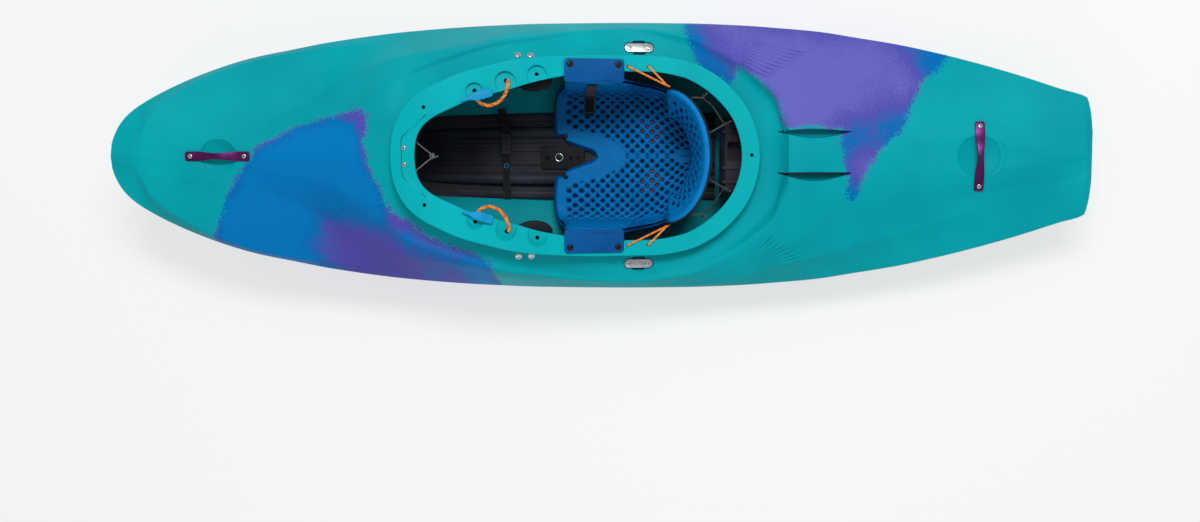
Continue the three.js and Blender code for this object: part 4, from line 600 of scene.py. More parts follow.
def distance_inside(outline, x, y):
    """Distance to a closed outline, above zero within it."""
    inside = False
    nearest = 1e9
    for (ax, ay), (bx, by) in zip(outline, outline[1:] + outline[:1]):
        if (ay > y) != (by > y) and x < ax + (bx - ax) * (y - ay) / (by - ay):
            inside = not inside
        step = (bx - ax) ** 2 + (by - ay) ** 2
        t = min(max(((x - ax) * (bx - ax) + (y - ay) * (by - ay)) / step, 0), 1)
        nearest = min(nearest, math.hypot(x - ax - t * (bx - ax), y - ay - t * (by - ay)))
    return nearest if inside else -nearest


# Middles and reaches of the purple clouds in each field, as (x, y, reach, share of purple)
bow_clouds = [
    (-0.68, -0.21, 0.09, 0.28), (-0.58, -0.26, 0.09, 0.42), (-0.46, -0.27, 0.1, 0.34),
    (-0.8, -0.25, 0.07, 0.12), (-0.585, 0.1, 0.03, 0.3), (-0.49, -0.17, 0.03, 0.2), (-0.36, -0.3, 0.06, 0.25),
]
stern_clouds = [
    (0.42, 0.25, 0.11, 0.5), (0.55, 0.16, 0.11, 0.42), (0.66, 0.24, 0.11, 0.5), (0.66, -0.03, 0.05, 0.4),
    (0.77, 0.18, 0.05, 0.3), (0.3, 0.31, 0.07, 0.25), (0.5, 0.1, 0.06, 0.35),
]


def cloud_share(clouds, x, y):
    total = 0.22
    for cx, cy, reach, share in clouds:
        total += share * math.exp(-((x - cx) ** 2 + (y - cy) ** 2) / reach ** 2)
    return min(total, 0.9)


def field_at(outline, x, y):
    """Distance inside an outline near it; far away a fixed number is enough."""
    reach = 0.1
    along_boat = [corner[0] for corner in outline]
    if x < min(along_boat) - reach or x > max(along_boat) + reach:
        return -reach
    return distance_inside(outline, x, y)


def add_fields(mesh):
    """Writes the swirl attributes on a mesh of the hull's plastic."""
    below = HEIGHT * 0.2
    layers = {name: mesh.attributes.new(name, "FLOAT", "POINT")
              for name in ("bow_field", "stern_field", "bow_purple", "stern_purple")}
    for vertex in mesh.vertices:
        x, y, z = vertex.co
        bow = field_at(bow_outline, x, y)
        stern = field_at(stern_outline, x, y)
        if z < below:
            stern = min(stern, z - below)
        layers["bow_field"].data[vertex.index].value = bow
        layers["stern_field"].data[vertex.index].value = stern
        layers["bow_purple"].data[vertex.index].value = cloud_share(bow_clouds, x, y)
        layers["stern_purple"].data[vertex.index].value = cloud_share(stern_clouds, x, y)


print("swirl fields", len(bow_outline), "and", len(stern_outline), "corners")

# %% [markdown]
# Most pieces start as closed loops of points that are bridged, or as a face that is pushed out.
# These few helpers wrap the bmesh operators for that, and the last one turns the bmesh into an
# object that rides on a body of the frame, stands for its solids and has its finish.

# %% Helpers for meshes
def add_loop(bm, points):
    verts = [bm.verts.new(point) for point in points]
    return [bm.edges.new((a, b)) for a, b in zip(verts, verts[1:] + verts[:1])]


def skin(rings, closed=False):
    """New bmesh with a skin over loops of points; each pair of neighbours is joined by a bridge."""
    bm = bmesh.new()
    loops = [add_loop(bm, ring) for ring in rings]
    pairs = list(zip(loops, loops[1:]))
    if closed:
        pairs.append((loops[-1], loops[0]))
    for first, second in pairs:
        bmesh.ops.bridge_loops(bm, edges=first + second)
    if not closed:
        bmesh.ops.contextual_create(bm, geom=loops[0])
        bmesh.ops.contextual_create(bm, geom=loops[-1])
    bmesh.ops.recalc_face_normals(bm, faces=bm.faces)
    return bm


def edges_above(bm, height):
    return [edge for edge in bm.edges if min(vert.co.z for vert in edge.verts) > height]


def round_over(bm, edges, offset, segments=3):
    bmesh.ops.bevel(bm, geom=edges, offset=offset, affect="EDGES", segments=segments, profile=0.5, material=-1)


def slab(outline, low, high, roll=0.0, segments=3):
    """New bmesh with a prism over an outline of (x, y); its upper edges may be rounded over."""
    bm = bmesh.new()
    face = bm.faces.new([bm.verts.new((x, y, low)) for x, y in outline])
    pushed = bmesh.ops.extrude_face_region(bm, geom=[face])
    verts = [part for part in pushed["geom"] if isinstance(part, bmesh.types.BMVert)]
    bmesh.ops.translate(bm, verts=verts, vec=(0, 0, high - low))
    bmesh.ops.recalc_face_normals(bm, faces=bm.faces)
    if roll:
        round_over(bm, edges_above(bm, (low + high) / 2), roll, segments)
    return bm


def turn_profile(bm, profile, steps=32):
    """Closed solid of revolution round Z through a profile of (radius, height)."""
    verts = [bm.verts.new((radius, 0, height)) for radius, height in profile]
    edges = [bm.edges.new(pair) for pair in zip(verts, verts[1:])]
    bmesh.ops.spin(bm, geom=verts + edges, cent=(0, 0, 0), axis=(0, 0, 1), angle=2 * math.pi, steps=steps,
                   use_merge=True)
    bmesh.ops.remove_doubles(bm, verts=bm.verts, dist=1e-6)
    bmesh.ops.recalc_face_normals(bm, faces=bm.faces)


def frame_at(origin, first, up):
    """Matrix with its X along one direction and its Z as near to another as that allows."""
    x = Vector(first).normalized()
    y = Vector(up).cross(x).normalized()
    z = x.cross(y)
    return Matrix.Translation(origin) @ Matrix((x, y, z)).transposed().to_4x4()


def facing(origin, out):
    """Matrix with its Z along a direction, for a screw or a bolt."""
    return Matrix.Translation(origin) @ Vector(out).to_track_quat("Z", "Y").to_matrix().to_4x4()


def shade_by_angle(piece, degrees):
    """Smooth shading, with an edge kept sharp where the faces turn by more than the angle."""
    piece.data.shade_smooth()
    piece.data.set_sharp_from_angle(angle=math.radians(degrees))


def object_from(bm, name, matrix=None):
    """Turns a bmesh into an object of the scene."""
    if matrix is not None:
        bmesh.ops.transform(bm, matrix=matrix, verts=bm.verts)
    mesh = bpy.data.meshes.new(name)
    bm.to_mesh(mesh)
    bm.free()
    thing = bpy.data.objects.new(name, mesh)
    bpy.context.scene.collection.objects.link(thing)
    return thing


def finished(bm, name, body, finish, nodes=(), smooth=35.0, matrix=None, between=None):
    """Turns a bmesh into a piece of the boat, which rides on a body, or is left unattached when it spans two of
    them.
    """
    piece = object_from(bm, name, matrix)
    shade_by_angle(piece, smooth)
    piece.data.materials.append(finish.material)
    if between:
        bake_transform(piece)
    else:
        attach(piece, body)
    if nodes:
        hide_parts(*nodes)
    return piece


def apply_modifiers(piece):
    """Writes the result of a piece's modifiers into its mesh."""
    graph = bpy.context.evaluated_depsgraph_get()
    mesh = bpy.data.meshes.new_from_object(piece.evaluated_get(graph))
    piece.modifiers.clear()
    piece.data = mesh


def thicken(piece, thickness, offset=-1):
    """Gives a sheet its wall and writes it into the mesh."""
    wall = piece.modifiers.new("thickness", "SOLIDIFY")
    wall.thickness = thickness
    wall.offset = offset
    apply_modifiers(piece)


def carve(piece, *cutters):
    """Cuts closed shapes out of a piece with the exact boolean, and removes the cutters."""
    for cutter in cutters:
        cut = piece.modifiers.new("carve", "BOOLEAN")
        cut.operation = "DIFFERENCE"
        cut.solver = "EXACT"
        cut.object = cutter
        apply_modifiers(piece)
        bpy.data.objects.remove(cutter)


def cutter_from(bm, matrix=None):
    return object_from(bm, "cutter", matrix)


def one_cutter(cutters):
    """Joins cutters that lie apart from each other, so that one cut does for all."""
    bm = bmesh.new()
    for cutter in cutters:
        bm.from_mesh(cutter.data)
        bpy.data.objects.remove(cutter)
    return cutter_from(bm)


def add_mesh(bm, part):
    """Adds one bmesh to another and frees it."""
    spare = bpy.data.meshes.new("part")
    part.to_mesh(spare)
    part.free()
    bm.from_mesh(spare)
    bpy.data.meshes.remove(spare)


def lay_uv(bm, places):
    """Writes the UV map from the places in metres that the vertices carry."""
    uv = bm.loops.layers.uv.get("UVMap") or bm.loops.layers.uv.new("UVMap")
    for face in bm.faces:
        for loop in face.loops:
            loop[uv].uv = loop.vert[places].xy


print("mesh helpers ready")

# %% [markdown]
# The hull itself is one closed skin: rings of the rounded section, closer together at the ends and
# under the handles, bridged from bow to stern. A subdivided box could be pulled into shape, but then
# the chines would wander; with rings each of them is a line that runs the whole length.

# %% Outer skin of the hull
RING_COUNT = 150
END_SHARE = 0.03


def ring_shares():
    shares = [k / RING_COUNT for k in range(RING_COUNT + 1)]
    for k in range(1, 12):
        shares.append(END_SHARE * (k / 12) ** 2)
        shares.append(1 - END_SHARE / 2 * (k / 12) ** 2)
    return sorted(set(round(share, 5) for share in shares))


def hull_ring(share):
    return [Vector(((share - 0.5) * LENGTH, y, z)) for y, z in full_ring(smooth_half(share))]


bm = skin([hull_ring(share) for share in ring_shares()])
print("outer skin", len(bm.faces), "faces")
hull = finished(bm, "hull_skin", "hull", hull_finish, ["hull_shell"], smooth=50)

# %% [markdown]
# The wall is 5 mm thick all round. The inside is a second skin that is smaller by the wall and stops
# short of the solid ends, and it is cut out of the first. Solidify would do it in one step, but it
# folds over itself in the narrow ends.

# %% Inside, cockpit opening, finger dishes, pockets and deck slots
HOLLOW_FIRST_SHARE = 0.045
HOLLOW_LAST_SHARE = 0.96


def inset_ring(points, distance):
    """A section's ring moved inwards, point by point."""
    moved = []
    for i, point in enumerate(points):
        before = points[i - 1]
        after = points[(i + 1) % len(points)]
        step = (after - before).normalized()
        moved.append(point + Vector((0, -step.z, step.y)) * distance)
    return moved


inner_shares = [share for share in ring_shares() if HOLLOW_FIRST_SHARE <= share <= HOLLOW_LAST_SHARE]
inside = cutter_from(skin([inset_ring(hull_ring(share), WALL) for share in inner_shares]))

opening = [place + inward * (RISER_INSET + WALL / 2) for place, inward, share in rim_outline(200)]
cockpit = cutter_from(slab([(point.x, point.y) for point in opening], HEIGHT / 2, 2 * HEIGHT))

BOW_HANDLE_X = -0.945
STERN_HANDLE_X = 0.943
BOW_DISH = 0.05
STERN_DISH = 0.057
DISH_DEPTH = 0.016
DISH_EDGE = 0.007


def dish_radius(reach):
    """Radius of the ball whose cap is as wide and as deep as the dish."""
    return (reach * reach + DISH_DEPTH * DISH_DEPTH) / (2 * DISH_DEPTH)


def dish_wall(x, reach):
    """What stays solid under a dish: a ball that is larger by the wall."""
    radius = dish_radius(reach)
    bm = bmesh.new()
    bmesh.ops.create_uvsphere(bm, u_segments=96, v_segments=64, radius=radius + WALL)
    return cutter_from(bm, Matrix.Translation(on_deck(x, 0.0, radius - DISH_DEPTH)))


def dish_cutter(x, reach):
    """Bowl whose upper edge flares out in a small arc, so that the cut has a rounded lip."""
    radius = dish_radius(reach)
    profile = [(0.0, -DISH_DEPTH)]
    for k in range(1, 13):
        out = (reach - DISH_EDGE) * k / 12
        profile.append((out, -DISH_DEPTH + radius - math.sqrt(radius * radius - out * out)))
    low = profile[-1][1]
    for k in range(1, 7):
        turn = math.pi / 2 * k / 6
        out = reach - DISH_EDGE + 2 * DISH_EDGE * (1 - math.cos(turn))
        profile.append((out, low * (1 - math.sin(turn)) + 0.0004))
    profile += [(reach + 2 * DISH_EDGE, 0.03), (0.0, 0.03)]
    bm = bmesh.new()
    turn_profile(bm, profile, 64)
    return cutter_from(bm, facing(on_deck(x, 0.0), deck_normal(x, 0.0)))


BAR_X = 0.1
BAR_OFFSET = 0.27
BAR_LENGTH = 0.072
BAR_WIDTH = 0.023
BAR_THICKNESS = 0.004
BAR_ROOM = 0.006
WELL_LENGTH = 0.034
WELL_WIDTH = 0.037
WELL_CORNER = 0.006
WELL_DEPTH = 0.018


def stadium(length, width, steps=10):
    radius = width / 2
    reach = length / 2 - radius
    points = []
    for side in (1, -1):
        for k in range(steps + 1):
            turn = math.pi * (k / steps - 0.5)
            points.append((side * (reach + radius * math.cos(turn)), side * radius * math.sin(turn)))
    return points


def soft_rectangle(length, width, radius, steps=5, at=(0, 0)):
    points = []
    for sx, sy, first in ((1, -1, -90), (1, 1, 0), (-1, 1, 90), (-1, -1, 180)):
        for k in range(steps + 1):
            turn = math.radians(first + 90 * k / steps)
            points.append((at[0] + (sx * (length / 2 - radius) + radius * math.cos(turn)),
                           at[1] + (sy * (width / 2 - radius) + radius * math.sin(turn))))
    return points


def bar_frame(side):
    slope = slope_of(lambda x: deck_height(x, BAR_OFFSET), BAR_X)
    y = side * BAR_OFFSET
    return frame_at(on_deck(BAR_X, y), (1, 0, slope), deck_normal(BAR_X, y))


def bar_wall(side):
    """What stays solid round the seat of a bar and its well."""
    outline = stadium(BAR_LENGTH + BAR_ROOM + 2 * WALL, BAR_WIDTH + 2 * BAR_ROOM + 2 * WALL)
    return cutter_from(slab(outline, -WELL_DEPTH - WALL, 0.03), bar_frame(side))


def bar_cutters(side):
    seat = slab(stadium(BAR_LENGTH + BAR_ROOM, BAR_WIDTH + BAR_ROOM), -BAR_THICKNESS - 0.001, 0.03)
    well = slab(soft_rectangle(WELL_LENGTH, WELL_WIDTH, WELL_CORNER), -WELL_DEPTH, 0.031)
    return [cutter_from(seat, bar_frame(side)), cutter_from(well, bar_frame(side))]


SLOT_FRONT_X = 0.446
SLOT_REAR_X = 0.626
SLOT_OFFSET = 0.052
SLOT_DEPTH = 0.036
# End of a slot and how far its starboard and its port edge bulge from there
slot_lines = {1: (0.0605, 0.0065, 0.0145), -1: (-0.0415, 0.001, 0.019)}


def slot_cutter(side, grown=0.0):
    """Lens-shaped recess of the rear deck, nearly straight on one side and full on the other."""
    rings = []
    front, rear = SLOT_FRONT_X - grown, SLOT_REAR_X + grown
    for k in range(25):
        t = k / 24
        x = front + (rear - front) * t
        bulge = math.sin(math.pi * t)
        top = deck_height(min(max(x, SLOT_FRONT_X), SLOT_REAR_X), SLOT_OFFSET)
        end, to_starboard, to_port = slot_lines[side]
        starboard_edge = end + to_starboard * bulge + grown + 0.0005
        port_edge = end - to_port * bulge - grown - 0.0005
        depth = top - SLOT_DEPTH * (0.2 + 0.8 * bulge ** 0.6) - grown
        low = along((port_edge, depth), (starboard_edge, depth), 0.12)[0]
        high = along((port_edge, depth), (starboard_edge, depth), 0.88)[0]
        ring = [(port_edge - 0.003, top + 0.003), (port_edge, top - 0.002), (low, depth), (high, depth),
                (starboard_edge, top - 0.002), (starboard_edge + 0.003, top + 0.003)]
        rings.append([Vector((x, y, z)) for y, z in ring])
    return cutter_from(skin(rings))


dishes = ((BOW_HANDLE_X, BOW_DISH), (STERN_HANDLE_X, STERN_DISH))
kept_solid = [dish_wall(x, reach) for x, reach in dishes]
bar_seats, bar_wells = zip(bar_cutters(-1), bar_cutters(1))
for side in (-1, 1):
    kept_solid += [bar_wall(side), slot_cutter(side, WALL)]
carve(inside, one_cutter(kept_solid))
carve(hull, inside, cockpit)
recesses = [dish_cutter(x, reach) for x, reach in dishes] + [slot_cutter(-1), slot_cutter(1)]
carve(hull, one_cutter(recesses + list(bar_seats)), one_cutter(bar_wells))
shade_by_angle(hull, 38)
add_fields(hull.data)
print("hull", len(hull.data.polygons), "faces")

# %% [markdown]
# The rim is moulded with the hull, but it is a clearer lesson as its own ring: a flange that stands
# out over a low wall, with rolled edges. Its profile goes round the cockpit and is bridged into a
# closed tube. The recesses over the cord holes are cut through the flange by one joined cutter, and a
# thin cup under each closes it again; the step of the pad at the front is pressed into the profile.

# %% Cockpit rim
RIM_STEPS = 480
FLANGE_SPLITS = 30
EDGE_ROLL = 0.0025
# Recesses over the cord holes: place along the rim, radius, and the circle's middle from the inner edge
recesses_of_rim = [(0.234, 0.0215, 0.0135), (0.315, 0.0255, 0.0175), (0.396, 0.025, 0.0125)]
CUP_WALL = 0.002
STEP_LINE_SHARE = 0.037
STEP_LINE_HALF = 0.045


def ease(t):
    t = min(max(t, 0.0), 1.0)
    return t * t * (3 - 2 * t)


def pressed(point):
    """How far the flange is pressed down here, in the pad at its front."""
    share = rim_share(point.x)
    line = STEP_LINE_SHARE + max(0.0, abs(point.y) - STEP_LINE_HALF) * 1.2
    pad = ease((share - line) / 0.0018) * ease((0.112 - abs(point.y)) / 0.03)
    return 0.0026 * pad * (1 if share < 0.12 else 0)


def recess_floor(from_edge):
    """The floor is shallow at the inner edge and sinks towards the outside."""
    return -0.0015 - 0.25 * from_edge


def recess_solid(spot, side, grown, legs, lift, high):
    """Pocket or cup of a recess: half a circle to the outside and straight legs to the inner edge."""
    share, radius, middle = spot
    x = RIM_FRONT_X + share * RIM_LENGTH
    origin = rim_point(x, 0.0, side, 0.0)
    run = rim_point(x + 0.004, 0.0, side, 0.0) - rim_point(x - 0.004, 0.0, side, 0.0)
    rings = []
    for rise, slope in ((0.0, -0.0024), (0.0018, -0.0005), (None, 0.001)):
        reach = radius + grown + slope
        turns = [math.pi * k / 24 for k in range(25)]
        arc = [(reach * math.cos(turn), middle + reach * math.sin(turn)) for turn in turns]
        ring = []
        for along_rim, out in [(reach, -legs)] + arc + [(-reach, -legs)]:
            z = high if rise is None else recess_floor(out) + lift + rise
            ring.append(Vector((along_rim, side * out, z)))
        rings.append(ring)
    return cutter_from(skin(rings), frame_at(origin, run, rim_normal(x)))


def rim_profile(place, inward, share):
    flange = flange_at(share)

    def at(inset, drop):
        spot = place + inward * inset
        return Vector((spot.x, spot.y, rim_top(spot.x) - drop))

    def wall(inset, drop, foot):
        point = at(inset, drop)
        ground = deck_height(point.x, point.y) - WALL * 0.6
        return point.lerp(Vector((point.x, point.y, ground)), foot)

    turns = (0, 0.52, 1.05, math.pi / 2)
    arc = [(EDGE_ROLL * (1 - math.cos(turn)), EDGE_ROLL * (1 - math.sin(turn))) for turn in turns]
    points = [at(0.0012, RIM_LIP), at(0, RIM_LIP - 0.0015)] + [at(inset, drop) for inset, drop in arc]
    for k in range(1, FLANGE_SPLITS):
        points.append(at(EDGE_ROLL + (flange - 2 * EDGE_ROLL) * k / FLANGE_SPLITS, 0))
    points += [at(flange - inset, drop) for inset, drop in reversed(arc)]
    points.append(at(flange - 0.0012, RIM_PLATE))
    for k in range(1, 6):
        points.append(at(flange + (RISER_INSET + WALL - flange) * k / 5, RIM_PLATE))
    inner = RISER_INSET + WALL
    points += [wall(inner, RIM_PLATE, foot) for foot in (0.34, 0.67, 1)]
    points += [wall(RISER_INSET, RIM_PLATE, foot) for foot in (1, 0.67, 0.34, 0.04)]
    points += [at(RIM_PLATE + 0.001, RIM_PLATE), at(RIM_PLATE, RIM_PLATE + 0.001)]
    points.append(at(RIM_PLATE - 0.0012, RIM_LIP))
    top = len(arc) + 2 + FLANGE_SPLITS
    for i, point in enumerate(points):
        if 5 <= i <= top:
            point.z -= pressed(point)
    return points


bm = skin([rim_profile(*spot) for spot in rim_outline(RIM_STEPS)], closed=True)
print("rim", len(bm.faces), "faces")
rim = finished(bm, "cockpit_rim", "hull", rim_finish, ["hull_shell"], smooth=40)
spots = [(spot, side) for spot in recesses_of_rim for side in (-1, 1)]
carve(rim, one_cutter([recess_solid(spot, side, 0.0, 0.03, 0.0, 0.01) for spot, side in spots]))
shade_by_angle(rim, 40)
for (spot, side), label in zip(spots, ("1_left", "1_right", "2_left", "2_right", "3_left", "3_right")):
    bm = bmesh.new()
    shape = recess_solid(spot, side, CUP_WALL, -0.0005, -CUP_WALL, -0.0004)
    bm.from_mesh(shape.data)
    bpy.data.objects.remove(shape)
    cup = finished(bm, f"cord_recess_{label}", "hull", rim_finish)
    carve(cup, recess_solid(spot, side, 0.0004, 0.03, -0.0004, 0.01))
    shade_by_angle(cup, 40)
    print("recess", label, len(cup.data.polygons), "faces")

# %% [markdown]
# Metal parts: stainless screws with a hexagon socket, blackened screws in the seat, purple anodised
# grab handles and brushed security bars. Steel gets a very fine grain; anodising keeps its gloss.

# %% Metal finishes
steel = plain_finish("stainless_steel", colour(206, 208, 210), colour(182, 184, 188), 0.24, metallic=1.0,
                     grain=2500.0, depth=0.00002, patch=200.0)
brushed = plain_finish("brushed_steel", colour(190, 192, 195), colour(158, 160, 164), 0.34, metallic=1.0,
                       grain=1400.0, depth=0.00006, patch=120.0)
dark_steel = plain_finish("blackened_steel", colour(52, 54, 58), colour(34, 35, 38), 0.32, metallic=0.9,
                          grain=2500.0, depth=0.00002, patch=200.0)
anodised = plain_finish("purple_anodising", colour(94, 24, 92), colour(74, 18, 74), 0.36, metallic=0.75,
                        grain=1800.0, depth=0.00004, patch=90.0)
alloy = plain_finish("brushed_alloy", colour(150, 154, 158), colour(128, 132, 137), 0.42, metallic=1.0,
                     grain=900.0, depth=0.00006, patch=60.0)


# %% [markdown]
# A screw head is a dome turned round its axis, with a six-sided socket sunk into it. The socket is
# made by insetting and pushing in a six-sided face, and the dome is bridged to it.

# %% Screws and bolts
def add_screw(name, place, out, head, node, washer=0.0, finish=steel):
    """A head of a radius and a height, on an optional washer, that stands for a screw of the frame."""
    radius, rise = head
    socket = radius * 0.46
    sides = 24
    rings = []
    profile = [(radius * 0.98, -0.001), (radius, 0.0), (radius, rise * 0.3)]
    for k in range(1, 6):
        turn = math.pi / 2 * k / 6
        reach = socket * 1.25 + (radius - socket * 1.25) * math.cos(turn)
        profile.append((reach, rise * (0.3 + 0.7 * math.sin(turn))))
    profile.append((socket * 1.22, rise))
    turns = [2 * math.pi * k / sides for k in range(sides)]
    for reach, height in profile:
        rings.append([Vector((reach * math.cos(turn), reach * math.sin(turn), height)) for turn in turns])
    for height in (rise, -0.0004):
        ring = []
        for turn in turns:
            flat = math.cos(math.pi / 6) / math.cos((turn % (math.pi / 3)) - math.pi / 6)
            ring.append(Vector((socket * flat * math.cos(turn), socket * flat * math.sin(turn), height)))
        rings.append(ring)
    bm = skin(rings)
    if washer:
        part = bmesh.new()
        edge = [(washer, -0.0006), (washer, 0.0004), (washer - 0.0004, 0.0008)]
        turn_profile(part, [(0, -0.0006)] + edge + [(0, 0.0008)])
        add_mesh(bm, part)
    nodes = [node] if node else []
    return finished(bm, name, "hull", finish, nodes, smooth=40, matrix=facing(place, out))


print("screw maker ready")

# %% [markdown]
# The grab handles are flat straps of anodised alloy that arch over the finger dishes, narrower and
# rounder in the middle. Each is a run of rounded rings along the arch, bridged end to end.

# %% Grab handles
BOW_HANDLE_LENGTH = 0.163
STERN_HANDLE_LENGTH = 0.173
HANDLE_WIDTH = 0.024
HANDLE_THICKNESS = 0.006
HANDLE_RISE = 0.013
HANDLE_FOOT = 0.026
HANDLE_ROLL = 0.0019
HEAD_SINK = 0.0012
HANDLE_STEPS = 48
# Radius and height of a screw's head
HANDLE_HEAD = (0.0058, 0.0026)


def grab_handle(name, centre_x, length, crosswise, node):
    half = length / 2
    rings = []
    for i in range(HANDLE_STEPS + 1):
        u = -half + length * i / HANDLE_STEPS
        free = half - HANDLE_FOOT
        lift = 0.0 if abs(u) >= free else (1 + math.cos(math.pi * u / free)) / 2
        end = min(1.0, (half - abs(u)) / 0.004)
        wide = HANDLE_WIDTH / 2 * (1 - 0.34 * lift) - 0.004 * (1 - math.sqrt(max(0.0, end * (2 - end))))
        x, y = (centre_x, u) if crosswise else (centre_x + u, 0.0)
        base = deck_height(x, y) - HEAD_SINK + (HANDLE_RISE - HANDLE_THICKNESS + 0.004) * lift
        thick = HANDLE_THICKNESS + 0.0012 * lift
        ring = []
        for across, z in soft_rectangle(2 * wide, thick, HANDLE_ROLL, 4, at=(0, base + thick / 2)):
            ring.append(Vector((x + across, y, z)) if crosswise else Vector((x, y + across, z)))
        rings.append(ring)
    return finished(skin(rings), name, "hull", anodised, [node], smooth=50)


grab_handle("bow_handle", BOW_HANDLE_X, BOW_HANDLE_LENGTH, False, "bow_grab_handle")
grab_handle("stern_handle", STERN_HANDLE_X, STERN_HANDLE_LENGTH, True, "stern_grab_handle")
for side, end in ENDS:
    x = BOW_HANDLE_X + side * (BOW_HANDLE_LENGTH / 2 - HANDLE_FOOT / 2)
    place = on_deck(x, 0, HANDLE_THICKNESS - HEAD_SINK)
    add_screw(f"bow_screw_{end}", place, deck_normal(x, 0), HANDLE_HEAD, f"bow_handle_screw_{end}")
for side, end in SIDES:
    y = side * (STERN_HANDLE_LENGTH / 2 - HANDLE_FOOT / 2)
    place = on_deck(STERN_HANDLE_X, y, HANDLE_THICKNESS - HEAD_SINK)
    add_screw(f"stern_screw_{end}", place, deck_normal(STERN_HANDLE_X, y), HANDLE_HEAD,
              f"stern_handle_screw_{end}")

# %% [markdown]
# A security bar is a stadium of brushed steel in a pocket beside the rim, held by two screws.

# %% Security bars
BAR_SCREW_PITCH = 0.05
BAR_HEAD = (0.0065, 0.0028)

for side, label in SIDES:
    bm = slab(stadium(BAR_LENGTH, BAR_WIDTH), -BAR_THICKNESS, 0.0003, roll=0.0012)
    matrix = bar_frame(side)
    finished(bm, f"bar_{label}", "hull", brushed, [f"security_bar_{label}"], matrix=matrix)
    out = matrix.to_3x3() @ UP
    for sign, end in ENDS:
        place = matrix @ Vector((sign * BAR_SCREW_PITCH / 2, 0, 0.0002))
        add_screw(f"bar_screw_{label}_{end}", place, out, BAR_HEAD, f"security_bar_screw_{label}_{end}")

# %% [markdown]
# The other bolts that show: two at the front of the rim, two pairs through the deck that carry the
# thigh braces, and two on each side of the hull for the footrest rails.

# %% Bolts through the hull
RIM_HEAD = (0.0062, 0.0026)
rim_screw_x = RIM_FRONT_X + 0.036
for side, label in SIDES:
    place = Vector((rim_screw_x, side * 0.02, rim_top(rim_screw_x) - 0.0015))
    add_screw(f"front_screw_{label}", place, rim_normal(rim_screw_x), RIM_HEAD, f"rim_screw_{label}")

BRACE_X = -0.177
BRACE_OFFSET = RIM_WIDTH / 2
BRACE_BOLT_PITCH = 0.032
BRACE_HEAD = (0.007, 0.003)
BRACE_WASHER = 0.0086


def brace_frame(side):
    slope = slope_of(lambda x: deck_height(x, BRACE_OFFSET), BRACE_X, 4 * PROBE)
    y = side * BRACE_OFFSET
    return frame_at(on_deck(BRACE_X, y), (1, 0, slope), deck_normal(BRACE_X, y))


FOOT_BOLT_Z = 0.151
FOOT_HEAD = (0.0085, 0.0038)
FOOT_WASHER = 0.0104
foot_bolts = ((-0.59, "front"), (-0.515, "rear"))


def side_normal(x, z, side):
    slope_x = slope_of(lambda near: side_width(near, z), x)
    slope_z = slope_of(lambda near: side_width(x, near), z)
    return Vector((-slope_x, side, -slope_z)).normalized()


for side, label in SIDES:
    matrix = brace_frame(side)
    out = matrix.to_3x3() @ UP
    for sign, end in ENDS:
        spot = matrix @ Vector((sign * BRACE_BOLT_PITCH / 2, 0, 0))
        place = on_deck(spot.x, spot.y)
        add_screw(f"deck_bolt_{label}_{end}", place, out, BRACE_HEAD, f"brace_bolt_{label}_{end}", BRACE_WASHER)
    for x, end in foot_bolts:
        place = Vector((x, side * side_width(x, FOOT_BOLT_Z), FOOT_BOLT_Z))
        add_screw(f"side_bolt_{label}_{end}", place, side_normal(x, FOOT_BOLT_Z, side), FOOT_HEAD,
                  f"footrest_bolt_{label}_{end}", FOOT_WASHER)

# %% [markdown]
# Seat and backrest are dimpled closed-cell foam in a deep blue. The dimples are pressed into the
# mesh; an attribute carries their depth, and the finish paints shade into the same places, darkest
# where the dimple is deepest.

# %% Foam and seat finishes
def foam_finish(name, light, dark, hollow):
    finish = Finish(name, 0.55)
    base = finish.ramp(finish.noise(25.0, 3.0), [(0.3, dark), (0.7, light)])
    # Painted shade: the dimple attribute mixes the hollows towards the dark hollow colour.
    with_hollow_shade = finish.mix(finish.attribute("dimple"), base, hollow)
    finish.paint(finish.mix(finish.attribute("red_spot"), with_hollow_shade, colour(200, 52, 22)))
    finish.relief(finish.bump(finish.noise(700.0, 3.0), 0.0003))
    return finish


# The last colour is painted shade for the hollows of the dimples.
seat_foam = foam_finish("blue_foam", colour(0, 124, 196), colour(0, 114, 184), colour(0, 22, 52))
seat_plastic = plain_finish("blue_seat_plastic", colour(0, 84, 150), colour(0, 76, 138), 0.38, grain=800.0,
                            depth=0.0001, patch=18.0)
black_plastic = plain_finish("black_moulding", colour(34, 36, 40), colour(22, 24, 27), 0.44, grain=700.0,
                             depth=0.00015, patch=14.0)
rail_finish = plain_finish("black_rail_moulding", colour(58, 60, 68), colour(40, 42, 49), 0.4, grain=500.0,
                           depth=0.0002, patch=9.0)
black_foam = plain_finish("black_foam", colour(40, 41, 44), colour(27, 28, 31), 0.85, grain=350.0, depth=0.0006,
                          patch=30.0)


def own_places(finish):
    """Both values of a piece's own UV map, for a tape or a cord."""
    spots = finish.add("ShaderNodeUVMap", uv_map="UVMap")
    parts = finish.add("ShaderNodeSeparateXYZ")
    finish.join(spots, parts, "Vector")
    return parts.outputs["X"], parts.outputs["Y"]


def webbing_finish(name, light, dark):
    """Woven tape: fine ribs across it, on the piece's own UV map in metres."""
    finish = Finish(name, 0.72, sheen=0.2)
    run, side = own_places(finish)
    ribs = finish.maths("SINE", finish.maths("MULTIPLY", run, 2 * math.pi / 0.0016))
    warp = finish.maths("SINE", finish.maths("MULTIPLY", side, 2 * math.pi / 0.0012))
    weave = finish.maths("MULTIPLY", ribs, warp)
    finish.paint(finish.ramp(finish.maths("MULTIPLY_ADD", weave, 0.5, 0.5), [(0.1, dark), (0.9, light)]))
    finish.relief(finish.bump(weave, 0.0002))
    return finish


black_webbing = webbing_finish("black_webbing", colour(44, 45, 49), colour(20, 20, 23))

# %% [markdown]
# The seat is one curved bowl: a flat floor that turns up into side walls under the rim. Its section
# changes along the boat, so it is written as a place for each pair of shares, along and across.

